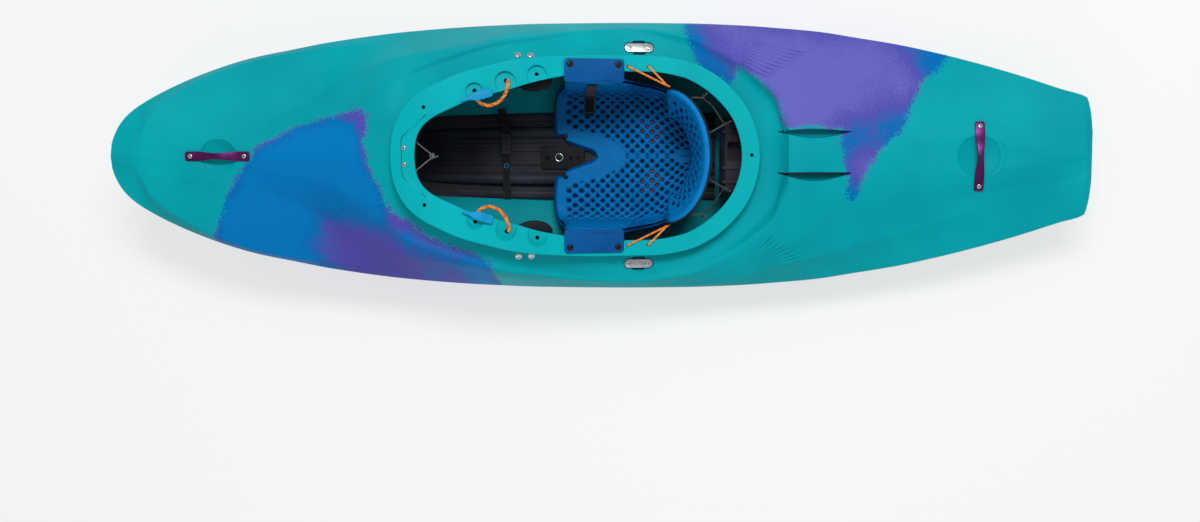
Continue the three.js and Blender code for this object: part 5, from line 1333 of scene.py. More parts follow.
# %% Shape of the seat
SEAT_REAR_X = 0.25
SEAT_FRONT_X = -0.118
SEAT_HALF_WIDTH = 0.189
SEAT_FLOOR_HALF = 0.12
SEAT_FLOOR = 0.0403
SEAT_SHELL = 0.004
SEAT_PAD = 0.008
HANGER_FRONT_X = -0.076
HANGER_REAR_X = 0.067
NOTCH_DEPTH = 0.088
NOTCH_HALF = 0.041
NOTCH_TIP = 0.008
SEAT_ROUND_X = 0.08
SEAT_ROUND_REACH = 0.175

seat_side_shares = [
    (0, 0.98), (0.115, 1), (0.3, 0.96), (0.5, 0.86), (0.56, 0.62), (0.63, 0.38), (0.75, 0.3), (1, 0.25),
]
seat_curve_shares = [(0, 0), (0.35, 0.02), (0.65, 0.12), (0.85, 0.32), (1, 1)]
seat_radii = [0.02, 0.024, 0.02, 0.02]
SEAT_CURVE = 1.6


def seat_path(share, trim=0.0):
    """Half section of the seat's outer face from the middle to the top of the side, as (y, z)."""
    most = rim_top(HANGER_FRONT_X) - RIM_PLATE - SEAT_FLOOR
    top = most * value_at(seat_side_shares, share) - trim
    curve = min(top, (SEAT_HALF_WIDTH - SEAT_FLOOR_HALF) * SEAT_CURVE)
    corners = [(0.0, SEAT_FLOOR)]
    for out, up in seat_curve_shares:
        y = SEAT_FLOOR_HALF + (SEAT_HALF_WIDTH - SEAT_FLOOR_HALF) * out
        corners.append((y, SEAT_FLOOR + (up * curve if out < 1 else top)))
    return rounded(corners, seat_radii, [1] * len(corners))


def seat_x(share):
    return SEAT_FRONT_X + (SEAT_REAR_X - SEAT_FRONT_X) * share


def seat_place(share, across, inset, trim=0.0):
    """Point of the seat: along from 0 at the front, across from -1 to 1, inset from the outer face."""
    path = seat_path(share, trim)
    steps = [math.dist(a, b) for a, b in zip(path, path[1:])]
    target = abs(across) * sum(steps)
    surface_place = target
    i = 0
    while i < len(steps) - 1 and target > steps[i]:
        target -= steps[i]
        i += 1
    a, b = path[i], path[i + 1]
    y, z = along(a, b, target / max(steps[i], 1e-9))
    step = Vector((b[0] - a[0], b[1] - a[1])).normalized()
    y, z = y - step.y * inset, z + step.x * inset
    x = seat_x(share)
    return Vector((x + front_shift(share, surface_place), math.copysign(y * rounded_rear(x), across), z))


# How far the front edge stands aft of the seat's front, by the distance across from its middle
seat_front_line = [(0, -0.012), (0.045, -0.016), (0.08, -0.022), (0.12, -0.024), (0.16, -0.018), (0.21, -0.003),
                   (0.27, 0.012), (0.36, 0.028), (0.46, 0.04)]
FRONT_LINE_SHARE = 0.22


def front_shift(share, across):
    """The front edge is bowed; the bow fades out over the first part of the seat."""
    fade = max(0.0, 1 - share / FRONT_LINE_SHARE) ** 1.5
    return fade * value_at(seat_front_line, abs(across)) if fade else 0.0


def rounded_rear(x):
    """Share of its width that the seat keeps towards the rear, where its plan is round."""
    far = max(0.0, (x - SEAT_ROUND_X) / SEAT_ROUND_REACH)
    return (1 - far ** 2.2) ** (1 / 2.2)


def seat_reach(share):
    path = seat_path(share)
    return sum(math.dist(a, b) for a, b in zip(path, path[1:]))


def in_notch(x, y, grow=0.0):
    """True in the notch at the front of the seat, which narrows to a rounded tip."""
    depth = x - SEAT_FRONT_X
    tip = NOTCH_DEPTH + grow
    if depth > tip:
        return False
    near = 1 - max(depth, 0.0) / tip
    half = (NOTCH_HALF - NOTCH_TIP) * near ** 1.05 + NOTCH_TIP * math.sqrt(max(0.0, min(1.0, near * 10))) + grow
    flare = 0.012 * ease((0.012 - depth) / 0.012)
    return abs(y) < half + flare


print("seat section reaches", round(seat_reach(0.3), 3), "m from its middle")

# %% [markdown]
# The seat pad starts as a flat grid. Each point is moved to its place in the bowl and pressed in by
# the dimples, the notch is cut and its edge pulled onto a clean line, and then the sheet gets its
# thickness. Cloth simulation suits a stuffed cushion; this foam is moulded and stiff, so it isn't used.

# %% Seat pad
DIMPLE_PITCH = 0.0265
DIMPLE_RADIUS = 0.0066
DIMPLE_DEPTH = 0.0062
BULGE = 0.0028
PAD_MARGIN = 0.005
PAD_SKIN = 0.0022
PAD_LONG = 116
PAD_WIDE = 300


def lattice(along_surface, across_surface):
    """Distance in metres to the nearest dimple of the staggered pattern."""
    nearest = 1.0
    for shift in (0.0, 0.5):
        a = (along_surface / DIMPLE_PITCH + shift) % 1 - 0.5
        b = (across_surface / DIMPLE_PITCH + shift) % 1 - 0.5
        nearest = min(nearest, math.hypot(a, b))
    return nearest * DIMPLE_PITCH


def plain_zone(x, s, reach):
    """From 0 on the smooth parts of the pad to 1 where it is dimpled."""
    room = 1.0
    room = min(room, ease((x - SEAT_FRONT_X - 0.022) / 0.006))
    room = min(room, ease((reach - abs(s) - 0.018) / 0.006))
    if x < -0.02:
        half = 0.057 + 0.2 * (-0.02 - x)
    else:
        half = 0.057 * math.sqrt(max(0.0, (0.052 - x) / 0.072))
    room = min(room, ease((abs(s) - half) / 0.005))
    tab = math.hypot((x - 0.235) / 0.048, s / 0.026)
    room = min(room, ease((tab - 1) / 0.15))
    dart = math.hypot((x - 0.118) / 0.03, (abs(s) - 0.205) / 0.034)
    room = min(room, ease((dart - 1) / 0.15))
    return room


def slit(x, s):
    """Depth of the slits in the rear tab and in the two corner darts."""
    depth = 0.0
    if x > 0.2 and abs(s) < 0.0022:
        depth = 0.004
    t = (x - 0.104) / 0.026
    if 0 < t < 1 and abs(abs(s) - 0.196 - 0.02 * t) < 0.0022:
        depth = 0.004
    return depth


def turn_up(bm, place):
    """Turns an open sheet over if the face nearest to a place looks down."""
    nearest = min(bm.faces, key=lambda face: (face.calc_center_median() - place).length)
    if nearest.normal.z < 0:
        bmesh.ops.reverse_faces(bm, faces=bm.faces)


def pull_to_notch(bm, zone_x, zone_half, grow, step, tries, keep=lambda vert: False):
    """Moves the ragged edge left by the notch inwards in small steps, up to the notch's own line."""
    for vert in bm.verts:
        near = vert.co.z < 0.1 and vert.co.x < zone_x and abs(vert.co.y) < zone_half
        if not vert.is_boundary or not near or keep(vert):
            continue
        away = 1 if vert.co.y >= 0 else -1
        for k in range(tries):
            if not in_notch(vert.co.x, vert.co.y - away * step, grow):
                vert.co.y -= away * step


red_places = [(0.118, 0.068), (0.118, -0.068)]


def pad_point(share, across, reach):
    x = seat_x(share)
    s = across * reach
    room = plain_zone(x, s, reach)
    far = lattice(x - 0.004, s)
    # The dimple's share of depth also sets the painted shade of its hollow in the finish.
    hollow = (1 - ease((far - DIMPLE_RADIUS * 0.55) / (DIMPLE_RADIUS * 0.6))) * room
    swell = BULGE * ease((far - DIMPLE_RADIUS) / (DIMPLE_PITCH / 2 - DIMPLE_RADIUS)) * room
    rim_roll = 0.0016 * (1 - ease((x - SEAT_FRONT_X) / 0.02))
    inset = SEAT_SHELL + SEAT_PAD + swell - rim_roll - max(DIMPLE_DEPTH * hollow, slit(x, s))
    red = any(math.hypot(x - rx, s - ry) < 0.034 for rx, ry in red_places)
    return seat_place(share, across, inset, PAD_MARGIN), hollow, 1.0 if red and far < 0.0025 else 0.0


bm = bmesh.new()
bmesh.ops.create_grid(bm, x_segments=PAD_LONG, y_segments=PAD_WIDE, size=1.0)
dimple = bm.verts.layers.float.new("dimple")
red_spot = bm.verts.layers.float.new("red_spot")
spots = bm.verts.layers.float_vector.new("spot")
first = PAD_MARGIN / (SEAT_REAR_X - SEAT_FRONT_X)
columns = {}
for vert in bm.verts:
    columns.setdefault(round(vert.co.x, 6), []).append(vert)
for place, verts in columns.items():
    share = first + (1 - 2 * first) * (place + 1) / 2
    reach = seat_reach(share) - PAD_MARGIN
    for vert in verts:
        across = vert.co.y
        vert[spots] = Vector((seat_x(share), across * reach, 0))
        vert.co, vert[dimple], vert[red_spot] = pad_point(share, across, reach)

cut_away = [vert for vert in bm.verts if in_notch(vert.co.x, vert.co.y, 0.005) and vert.co.z < 0.1]
bmesh.ops.delete(bm, geom=cut_away, context="VERTS")
pull_to_notch(bm, SEAT_FRONT_X + NOTCH_DEPTH + 0.02, 0.08, 0.005, 0.0004, 24,
              keep=lambda vert: vert.co.x < SEAT_FRONT_X + PAD_MARGIN + 0.001 and abs(vert.co.y) > 0.066)
notch_edge = [vert for vert in bm.verts if vert.is_boundary and abs(vert.co.y) < 0.09 and vert.co.x < 0]
bmesh.ops.smooth_vert(bm, verts=notch_edge, factor=0.5, use_axis_x=True, use_axis_y=True, use_axis_z=False)
lay_uv(bm, spots)
bmesh.ops.recalc_face_normals(bm, faces=bm.faces)
turn_up(bm, Vector((0.15, 0.0, 0.05)))
print("seat pad", len(bm.faces), "faces")
seat_pad = finished(bm, "seat_cushion", "hull", seat_foam, ["seat_pad"], smooth=60)
thicken(seat_pad, PAD_SKIN)

# %% [markdown]
# The two plates that hang the seat on the rim show from above, so they are made with rounded corners
# and edges, and cut across often enough to follow the rim up and down.

# %% Hangers and the screws of the seat
HANGER_OUTER = 0.238
HANGER_THICKNESS = 0.006
HANGER_DROP = 0.07
HANGER_CORNER = 0.009
HANGER_CUTS = 12
HANGER_HEAD = (0.0068, 0.0032)
HANGER_WASHER = 0.0084
SEAT_HEAD = (0.0066, 0.003)


def cut_across(bm):
    """Cuts a straight plate across, so that it can follow the rim up and down."""
    for k in range(1, HANGER_CUTS):
        x = HANGER_FRONT_X + (HANGER_REAR_X - HANGER_FRONT_X) * k / HANGER_CUTS
        everything = bm.verts[:] + bm.edges[:] + bm.faces[:]
        bmesh.ops.bisect_plane(bm, geom=everything, plane_co=(x, 0, 0), plane_no=(1, 0, 0))


def hanger(side, label):
    length = HANGER_REAR_X - HANGER_FRONT_X
    middle_x = (HANGER_FRONT_X + HANGER_REAR_X) / 2
    middle_y = (SEAT_HALF_WIDTH + HANGER_OUTER) / 2
    middle = (middle_x, side * (middle_y - 0.005))
    outline = soft_rectangle(length, HANGER_OUTER - SEAT_HALF_WIDTH + 0.01, HANGER_CORNER, at=middle)
    bm = slab(outline, 0.0003, HANGER_THICKNESS, roll=0.0018)
    cut_across(bm)
    inner = side * (SEAT_HALF_WIDTH + 0.002)
    outline = soft_rectangle(length - 0.004, 0.004, 0.0015, at=(middle_x, inner))
    leg = slab(outline, -HANGER_DROP, HANGER_THICKNESS - 0.001)
    cut_across(leg)
    add_mesh(bm, leg)
    for vert in bm.verts:
        vert.co.z += rim_top(vert.co.x)
    return finished(bm, f"hanger_{label}", "hull", seat_plastic, [f"seat_hanger_{label}"])


for side, label in SIDES:
    hanger(side, label)
    for x, end in ((HANGER_FRONT_X + 0.014, "front"), (HANGER_REAR_X - 0.014, "rear")):
        place = Vector((x, side * (HANGER_OUTER - 0.014), rim_top(x) + HANGER_THICKNESS - 0.0004))
        add_screw(f"hanger_bolt_{label}_{end}", place, rim_normal(x), HANGER_HEAD,
                  f"hanger_screw_{label}_{end}", HANGER_WASHER, dark_steel)

pad_top = SEAT_FLOOR + SEAT_SHELL + SEAT_PAD
for end, x, out in (("front", -0.108, 0.054), ("rear", 0.23, 0.013)):
    for side, label in SIDES:
        place = Vector((x, side * out, pad_top + 0.0008))
        add_screw(f"seat_bolt_{end}_{label}", place, UP, SEAT_HEAD, f"seat_screw_{end}_{label}", 0.0,
                  dark_steel)

# %% [markdown]
# Webbing is a ribbon with its own UV map in metres, so that the weave follows it. Each ribbon is a
# row of cross lines that are bridged, and Solidify gives it the thickness of the tape.

# %% Webbing
def ribbon(name, centres, acrosses, width, thickness, finish, nodes):
    """Tape through centre points, each with the direction across it there."""
    bm = bmesh.new()
    measured = bm.verts.layers.float_vector.new("measured")
    length = 0.0
    rows = []
    for i, (centre, across) in enumerate(zip(centres, acrosses)):
        if i:
            length += (centre - centres[i - 1]).length
        row = []
        for k in range(5):
            offset = width * (k / 4 - 0.5)
            vert = bm.verts.new(centre + across.normalized() * offset)
            vert[measured] = Vector((length, offset, 0))
            row.append(vert)
        rows.append([bm.edges.new(pair) for pair in zip(row, row[1:])])
    for first, second in zip(rows, rows[1:]):
        bmesh.ops.bridge_loops(bm, edges=first + second)
    lay_uv(bm, measured)
    bmesh.ops.recalc_face_normals(bm, faces=bm.faces)
    piece = finished(bm, name, "hull", finish, nodes, smooth=60)
    thicken(piece, thickness, 0)
    return piece


strap_centres = []
strap_acrosses = []
for k in range(40):
    t = k / 39
    x = -0.044 + 0.034 * t ** 1.4
    share = (x - SEAT_FRONT_X) / (SEAT_REAR_X - SEAT_FRONT_X)
    reach = seat_reach(share)
    across = (0.105 + (reach - 0.016 - 0.105) * t) / reach
    inset = SEAT_SHELL + SEAT_PAD + 0.0034 + (0.004 * math.sin(math.pi * t))
    strap_centres.append(seat_place(share, across, inset))
    strap_acrosses.append(Vector((1, 0, 0)))
ribbon("hip_tape", strap_centres, strap_acrosses, 0.024, 0.0016, black_webbing, ["hip_strap"])
hem_centre = strap_centres[1] + Vector((0, 0, 0.0016))
blue_stitch = webbing_finish("blue_stitching", colour(20, 120, 190), colour(8, 70, 130))
stitch_centres = [hem_centre, hem_centre + Vector((0, 0.003, 0.0006))]
ribbon("hip_tape_stitch", stitch_centres, strap_acrosses[:2], 0.022, 0.0012, blue_stitch, [])
print("tape length", round(sum((b - a).length for a, b in zip(strap_centres, strap_centres[1:])), 3))

# %% [markdown]
# The backrest is a band of the same foam bent round the back of the paddler, thicker at its foot,
# with a rolled edge along its top. It is a closed tube of sections that follow the bend.

# %% Backrest pad
BACK_HALF_WIDTH = 0.17
BACK_END_X = 0.168
BACK_DEPTH = 0.116
BACK_SHELL = 0.004
BACK_PAD = 0.018
BACK_BOTTOM = 0.196
BACK_TOP = 0.345
BACK_TOP_DROP = 0.058
BACK_LEAN = 0.03
BACK_END_LEAN = 0.02
BACK_STEPS = 150
FACE_SPLITS = 46


def back_top(a):
    t = max(0.0, (abs(a) - 0.5) / 0.5)
    return BACK_TOP - BACK_TOP_DROP * t * t


def back_point(a, inset, z):
    turn = a * math.pi / 2
    x = BACK_END_X + (BACK_DEPTH - inset) * math.cos(turn)
    return Vector((x, (BACK_HALF_WIDTH - inset) * math.sin(turn), z))


def back_section(a, arc):
    """Section of the band at one place: out of the shell, over the rolled top and down the face."""
    end = max(0.0, (abs(a) - 0.9) / 0.1)
    shrink = math.sqrt(max(0.02, 1 - end * end))
    high, low = back_top(a), BACK_BOTTOM
    middle = (high + low) / 2
    high, low = middle + (high - middle) * shrink, middle + (low - middle) * shrink
    back = BACK_SHELL + 0.0004
    lean = BACK_LEAN + BACK_END_LEAN * abs(a)
    thick = BACK_PAD * (0.2 + 0.8 * shrink)
    points = []
    for k in range(7):
        points.append((back + 0.001, low + 0.004 + (high - low - 0.008) * k / 6, 0.0))
    roll = 0.0065
    for k in range(1, 9):
        turn = math.pi * k / 9
        inset = back + roll + 0.001 - roll * math.cos(turn) * 1.15
        points.append((inset, high - roll * 0.75 + roll * math.sin(turn), 0.0))
    for k in range(FACE_SPLITS + 1):
        t = k / FACE_SPLITS
        z = high - 0.008 - (high - low - 0.014) * t
        crown = 0.004 * math.sin(math.pi * t)
        groove = 0.003 * math.exp(-((t - 0.1) / 0.03) ** 2)
        room = ease((t - 0.14) / 0.05) * ease((0.95 - t) / 0.05) * ease((0.9 - abs(a)) / 0.04)
        far = lattice(arc, (z - BACK_BOTTOM) * 0.45)
        # The dimple's share of depth also sets the painted shade of its hollow in the finish.
        hollow = (1 - ease((far - DIMPLE_RADIUS * 0.5) / (DIMPLE_RADIUS * 0.6))) * room
        inset = back + thick + lean * t * shrink + crown - groove - DIMPLE_DEPTH * hollow
        points.append((inset, z, hollow))
    for k in range(1, 5):
        turn = math.pi / 2 * k / 5
        inset = back + 0.004 + (thick + lean * shrink - 0.004) * math.cos(turn)
        points.append((inset, low + 0.006 * (1 - math.sin(turn)), 0.0))
    return points


rings = []
values = []
arc = 0.0
before = None
for i in range(BACK_STEPS + 1):
    a = -0.995 + 1.99 * i / BACK_STEPS
    spot = back_point(a, BACK_SHELL + BACK_PAD, 0)
    arc += 0.0 if before is None else (spot - before).length
    before = spot
    section = back_section(a, arc)
    rings.append([back_point(a, inset, z) for inset, z, hollow in section])
    values.append([hollow for inset, z, hollow in section])
bm = skin(rings)
dimple = bm.verts.layers.float.new("dimple")
bm.verts.layers.float.new("red_spot")
flat = [hollow for row in values for hollow in row]
for vert, hollow in zip(bm.verts, flat):
    vert[dimple] = hollow
print("backrest pad", len(bm.faces), "faces")
back_pad = finished(bm, "backrest_cushion", "backrest", seat_foam, ["backrest_pad"], smooth=60)

# %% [markdown]
# A drilled hole a few millimetres wide shows only as a dark disc, its inside in shade. A real cut
# would cost a boolean for each, so a thin disc in a colour of painted shade is sunk into the surface
# instead.

# %% Drilled holes as discs of painted shade
# Painted shade: the dark colour stands for the shadow inside a hole.
hole_shade_finish = plain_finish("painted_hole_shade", colour(6, 10, 13), colour(2, 5, 8), 0.7)


def rim_hole(name, place, out, radius=0.0042):
    bm = bmesh.new()
    edge = [(radius, -0.0015), (radius * 1.06, 0.0001), (radius * 0.96, 0.0005)]
    turn_profile(bm, [(0, -0.0015)] + edge + [(0, 0.0003)], 24)
    return finished(bm, name, "hull", hole_shade_finish, matrix=facing(place, out))

# %% [markdown]
# The seat's moulded shell follows the pad from below. It shows as a thin edge round the notch and
# along the side walls, and at the back a tab stands up that carries the backrest's pivot.

# %% Seat shell
SEAT_TAB_HALF = 0.032
SEAT_TAB_TOP = 0.0923

bm = bmesh.new()
bmesh.ops.create_grid(bm, x_segments=60, y_segments=90, size=1.0)
for vert in bm.verts:
    share = (vert.co.x + 1) / 2
    vert.co = seat_place(share, vert.co.y, SEAT_SHELL)
cut_away = [vert for vert in bm.verts if in_notch(vert.co.x, vert.co.y) and vert.co.z < 0.1]
bmesh.ops.delete(bm, geom=cut_away, context="VERTS")
pull_to_notch(bm, SEAT_FRONT_X + NOTCH_DEPTH + 0.01, 0.07, 0.0, 0.0003, 40)
bmesh.ops.recalc_face_normals(bm, faces=bm.faces)
turn_up(bm, Vector((0.15, 0.0, 0.045)))
shell = finished(bm, "seat_bowl", "hull", seat_plastic, ["seat_shell"], smooth=50)
thicken(shell, SEAT_SHELL - 0.0004)
bm = slab(soft_rectangle(2 * SEAT_TAB_HALF, SEAT_TAB_TOP - SEAT_FLOOR, 0.008), 0.0, SEAT_SHELL)
round_over(bm, bm.edges[:], 0.0008, segments=2)
tab_middle = Vector((SEAT_REAR_X, 0.0, (SEAT_FLOOR + SEAT_TAB_TOP) / 2))
tab_place = frame_at(tab_middle, (0, 1, 0), (1, 0, 0))
finished(bm, "seat_tab", "hull", seat_plastic, matrix=tab_place)
print("seat shell done")

# %% [markdown]
# The central rail is one long black moulding. Its section has a raised core, two ledges and fine
# grooves; it narrows towards the bow and follows the bottom of the hull, so its rings are lofted.

# %% Central rail
RAIL_FRONT_X = -0.52
RAIL_REAR_X = 0.29
RAIL_HALF = 0.116

# Upper side of half the rail, as (share of its half width, height): core, tube, gap and outer band
rail_line = [
    (0.0, 0.033), (0.1, 0.033), (0.112, 0.0355), (0.2, 0.0355), (0.212, 0.033), (0.3, 0.033), (0.312, 0.0355),
    (0.385, 0.0355), (0.4, 0.033), (0.42, 0.036), (0.47, 0.0405), (0.56, 0.0415), (0.63, 0.038),
    (0.662, 0.03), (0.675, 0.0165), (0.8, 0.0155), (0.815, 0.0215), (0.87, 0.0228), (0.95, 0.0222),
    (0.99, 0.0185), (1.0, 0.013),
]
rail_radii = [0.0014] * 8 + [0.004, 0.006, 0.006, 0.004] + [0.002] * (len(rail_line) - 14)
rail_width_shares = [(0, 0.85), (0.105, 0.94), (0.45, 1), (1, 1)]


def hull_floor(x, y):
    return crossing(side_and_deck(x)[0], abs(y), 0, 1) + WALL


rings = []
rail_stations = 48
for k in range(rail_stations + 1):
    x = RAIL_FRONT_X + (RAIL_REAR_X - RAIL_FRONT_X) * k / rail_stations
    narrow = value_at(rail_width_shares, k / rail_stations)
    end = ease((x - RAIL_FRONT_X) / 0.035)
    half = [(share * RAIL_HALF * narrow, z) for share, z in rail_line]
    half = rounded(half, rail_radii, [1] * len(half))
    floor_here = hull_floor(x, RAIL_HALF * narrow) + 0.0006
    tall = 0.35 + 0.65 * end
    upper = [(y, max(floor_here + 0.0012, floor_here + (z - floor_here) * tall)) for y, z in half]
    lower = [(y, hull_floor(x, y) + 0.0005) for y in (RAIL_HALF * narrow * 0.98, RAIL_HALF * narrow * 0.5, 0.0)]
    ring = upper + lower
    mirrored = [(-y, z) for y, z in reversed(ring[1:-1])]
    rings.append([Vector((x, y, z)) for y, z in ring + mirrored])
finished(skin(rings), "central_rail", "hull", rail_finish, ["seat_rail"], smooth=50)

PLATE_TOP = 0.0418
plate = slab(soft_rectangle(0.117, 0.064, 0.006, at=(-0.117, -0.003)), 0.033, PLATE_TOP, roll=0.0015)
finished(plate, "bolt_plate", "hull", black_plastic)


def torus(major, minor, steps=40, sides=12):
    bm = bmesh.new()
    upright = Matrix.Translation((major, 0, 0)) @ Matrix.Rotation(math.pi / 2, 4, "X")
    bmesh.ops.create_circle(bm, segments=sides, radius=minor, matrix=upright)
    bmesh.ops.spin(bm, geom=bm.verts[:] + bm.edges[:], cent=(0, 0, 0), axis=(0, 0, 1), angle=2 * math.pi,
                   steps=steps, use_merge=True)
    bmesh.ops.remove_doubles(bm, verts=bm.verts, dist=1e-6)
    bmesh.ops.recalc_face_normals(bm, faces=bm.faces)
    return bm


plate_bolt = Vector((-0.127, -0.003, PLATE_TOP))
ring_place = Matrix.Translation(plate_bolt + Vector((0, 0, 0.001)))
finished(torus(0.0098, 0.0022), "plate_ring", "hull", steel, matrix=ring_place)
add_screw("plate_screw", plate_bolt, UP, SEAT_HEAD, None, 0.0, dark_steel)
# Discs of painted shade stand for the three holes in the plate.
for name, x, size in (("front", -0.158, 0.0052), ("middle", -0.096, 0.0048), ("rear", -0.076, 0.0034)):
    rim_hole(f"plate_hole_{name}", Vector((x, -0.004, PLATE_TOP)), UP, size)
print("rail rings", len(rings))

# %% [markdown]
# Two upright blocks keep the decks from folding down: a foam wall in the bow and a moulded one
# behind the paddler. Each is lofted between the bottom and the deck that it holds apart.

# %% Pillars
BLOCK_HALF = 0.0447


def block_rings(front, rear, half, top_at, steps=10, roll=0.006):
    rings = []
    for k in range(steps + 1):
        x = front + (rear - front) * k / steps
        low = max(hull_floor(x, half), hull_floor(x, 0.0)) + 0.0008
        high = top_at(x)
        height = max(high - low, 0.012)
        section = soft_rectangle(2 * half, height, roll, at=(0, low + height / 2))
        rings.append([Vector((x, y, z)) for y, z in section])
    return rings


bow_block_front, bow_block_rear = -1.03, -0.69
dish_floor = deck_height(BOW_HANDLE_X, 0.0) - DISH_DEPTH - WALL - 0.003


def under_deck(x):
    """Top of a block of foam that just clears the deck over its whole width."""
    return min(deck_height(x, 0.0), deck_height(x, BLOCK_HALF)) - WALL - 0.0008


def bow_block_top(x):
    return min(under_deck(x), dish_floor + max(0.0, x - BOW_HANDLE_X - 0.05) * 1.2)


bm = skin(block_rings(bow_block_front, bow_block_rear, BLOCK_HALF, bow_block_top, 24))
bow_block = finished(bm, "bow_foam", "hull", black_foam, ["front_pillar"])

saddle_rings = block_rings(0.301, 0.392, 0.0975, lambda x: 0.184 - 0.03 * ease((0.318 - x) / 0.02), 12, 0.016)
saddle = finished(skin(saddle_rings), "rear_saddle", "hull", rail_finish,
                  ["rear_pillar"], smooth=50)
carve(saddle, cutter_from(slab(soft_rectangle(0.034, 0.05, 0.008, at=(0.338, 0.012)), 0.15, 0.2)))
shade_by_angle(saddle, 40)
bead_low, bead_high = 0.179, 0.1865
for k, y in enumerate((0.062, -0.03, -0.066)):
    bead = slab(soft_rectangle(0.076, 0.01, 0.004, at=(0.346, y)), bead_low, bead_high, roll=0.002)
    finished(bead, f"saddle_rib_{k + 1}", "hull", rail_finish)
rear_rings = block_rings(0.391, 0.639, BLOCK_HALF, under_deck, 20)
finished(skin(rear_rings), "rear_wall", "hull", rail_finish, ["rear_pillar"])
print("pillars done")

# %% [markdown]
# Cords are tubes: a small ring of points is carried along a smooth route without twisting and each
# ring is bridged to the next. The UV map holds metres along and the share of the way round, which
# the braided finish reads.

# %% Cord helpers and finishes
def smooth_route(points, steps):
    """Centripetal curve through route points, evenly sampled by its own parameter."""
    padded = [points[0] * 2 - points[1]] + list(points) + [points[-1] * 2 - points[-2]]
    spans = len(points) - 1
    route = []
    for i in range(steps + 1):
        place = spans * i / steps
        k = min(int(place), spans - 1)
        t = place - k
        p = padded[k:k + 4]
        d = [max((b - a).length ** 0.5, 1e-6) for a, b in zip(p, p[1:])]
        m1 = ((p[1] - p[0]) / d[0] - (p[2] - p[0]) / (d[0] + d[1]) + (p[2] - p[1]) / d[1]) * d[1]
        m2 = ((p[2] - p[1]) / d[1] - (p[3] - p[1]) / (d[1] + d[2]) + (p[3] - p[2]) / d[2]) * d[1]
        a = (p[1] - p[2]) * 2 + m1 + m2
        b = (p[2] - p[1]) * 3 - m1 * 2 - m2
        route.append(a * t ** 3 + b * t ** 2 + m1 * t + p[1])
    return route


def route_frames(route):
    across = None
    frames = []
    for i, point in enumerate(route):
        ahead = (route[min(i + 1, len(route) - 1)] - route[max(i - 1, 0)]).normalized()
        if across is None:
            across = ahead.orthogonal().normalized()
        across = (across - ahead * across.dot(ahead)).normalized()
        frames.append((point, ahead, across, ahead.cross(across)))
    return frames


def add_tube(bm, route, radius, sides=10, shade=0.0):
    measured = bm.verts.layers.float_vector.get("measured") or bm.verts.layers.float_vector.new("measured")
    strand = bm.verts.layers.float.get("strand") or bm.verts.layers.float.new("strand")
    loops = []
    length = 0.0
    for i, (point, _, across, second) in enumerate(route_frames(route)):
        if i:
            length += (point - route[i - 1]).length
        turns = [2 * math.pi * k / sides for k in range(sides)]
        ring = [point + (across * math.cos(turn) + second * math.sin(turn)) * radius for turn in turns]
        edges = add_loop(bm, ring)
        bm.verts.ensure_lookup_table()
        for k, vert in enumerate(bm.verts[-sides:]):
            vert[measured] = Vector((length, 1 - abs(2 * k / sides - 1), 0))
            vert[strand] = shade
        loops.append(edges)
    for first, second in zip(loops, loops[1:]):
        bmesh.ops.bridge_loops(bm, edges=first + second)
    for ends in (loops[0], loops[-1]):
        bmesh.ops.contextual_create(bm, geom=ends)
    lay_uv(bm, measured)
    bmesh.ops.recalc_face_normals(bm, faces=bm.faces)


def braid_finish(name, light, dark, fleck, pitch=0.0042):
    """Braided cover: crossing diagonal yarns, some of them in a second colour."""
    finish = Finish(name, 0.62, sheen=0.2)
    metres, round_share = own_places(finish)
    run = finish.maths("MULTIPLY", metres, 2 * math.pi / pitch)
    turn = finish.maths("MULTIPLY", round_share, 2 * math.pi)
    one = finish.maths("SINE", finish.maths("ADD", run, turn))
    other = finish.maths("SINE", finish.maths("SUBTRACT", run, turn))
    weave = finish.maths("MAXIMUM", one, other)
    strand = finish.attribute("strand")
    base = finish.mix(strand, light, fleck)
    far = finish.maths("MULTIPLY_ADD", metres, 2 * math.pi / (pitch * 4.2), turn)
    slow = finish.maths("SINE", far)
    flecked = finish.mix(finish.ramp(slow, [(0.55, NONE), (0.8, ALL)]), base, fleck)
    finish.paint(finish.mix(finish.ramp(weave, [(0.0, ALL), (0.55, NONE)]), flecked, dark))
    finish.relief(finish.bump(weave, 0.0004))
    return finish


orange_braid = braid_finish("orange_braid", colour(250, 92, 26), colour(206, 58, 16), colour(255, 194, 78))
black_bungee = braid_finish("black_bungee", colour(48, 50, 56), colour(22, 23, 27), colour(88, 92, 98), 0.003)
grey_bungee = braid_finish("grey_bungee", colour(104, 116, 126), colour(60, 70, 80), colour(150, 160, 168),
                           0.003)

# %% [markdown]
# A pull cord leaves a hole in the rim, hangs in a loop inside it and ends in a moulded tab. It is
# three thinner cords laid round each other, so each strand is a tube that winds round the route.

# %% Pull cords and their tabs
PULL_CORD = 0.009
STRAND = 0.0043
LAY_PITCH = 0.026
SCALLOP_MIDDLE_SHARE = 0.306
GAP = 0.0003
TAB_LENGTH = 0.077
TAB_WIDTH = 0.022
TAB_THICKNESS = 0.007
TAB_SETBACK = 0.096
TAB_FROM_EDGE = 0.001
TAB_CLEARANCE = 0.005

# Route in cord diameters: aft of the middle recess, out from the rim's inner edge, up from its top
pull_route_shares = [
    (1.0, 2.1, -0.9), (1.15, 1.6, -0.05), (1.1, 0.2, 0.4), (0.2, -1.6, -0.3), (-1.6, -2.9, -1.3),
    (-4.0, -3.1, -1.9), (-6.0, -2.0, -1.2), (-6.8, -0.9, -0.2), (-7.2, -0.3, 0.1),
]
tab_blue = plain_finish("cyan_tab", colour(24, 158, 208), colour(12, 138, 190), 0.4, grain=600.0,
                        depth=0.0001, patch=40.0)

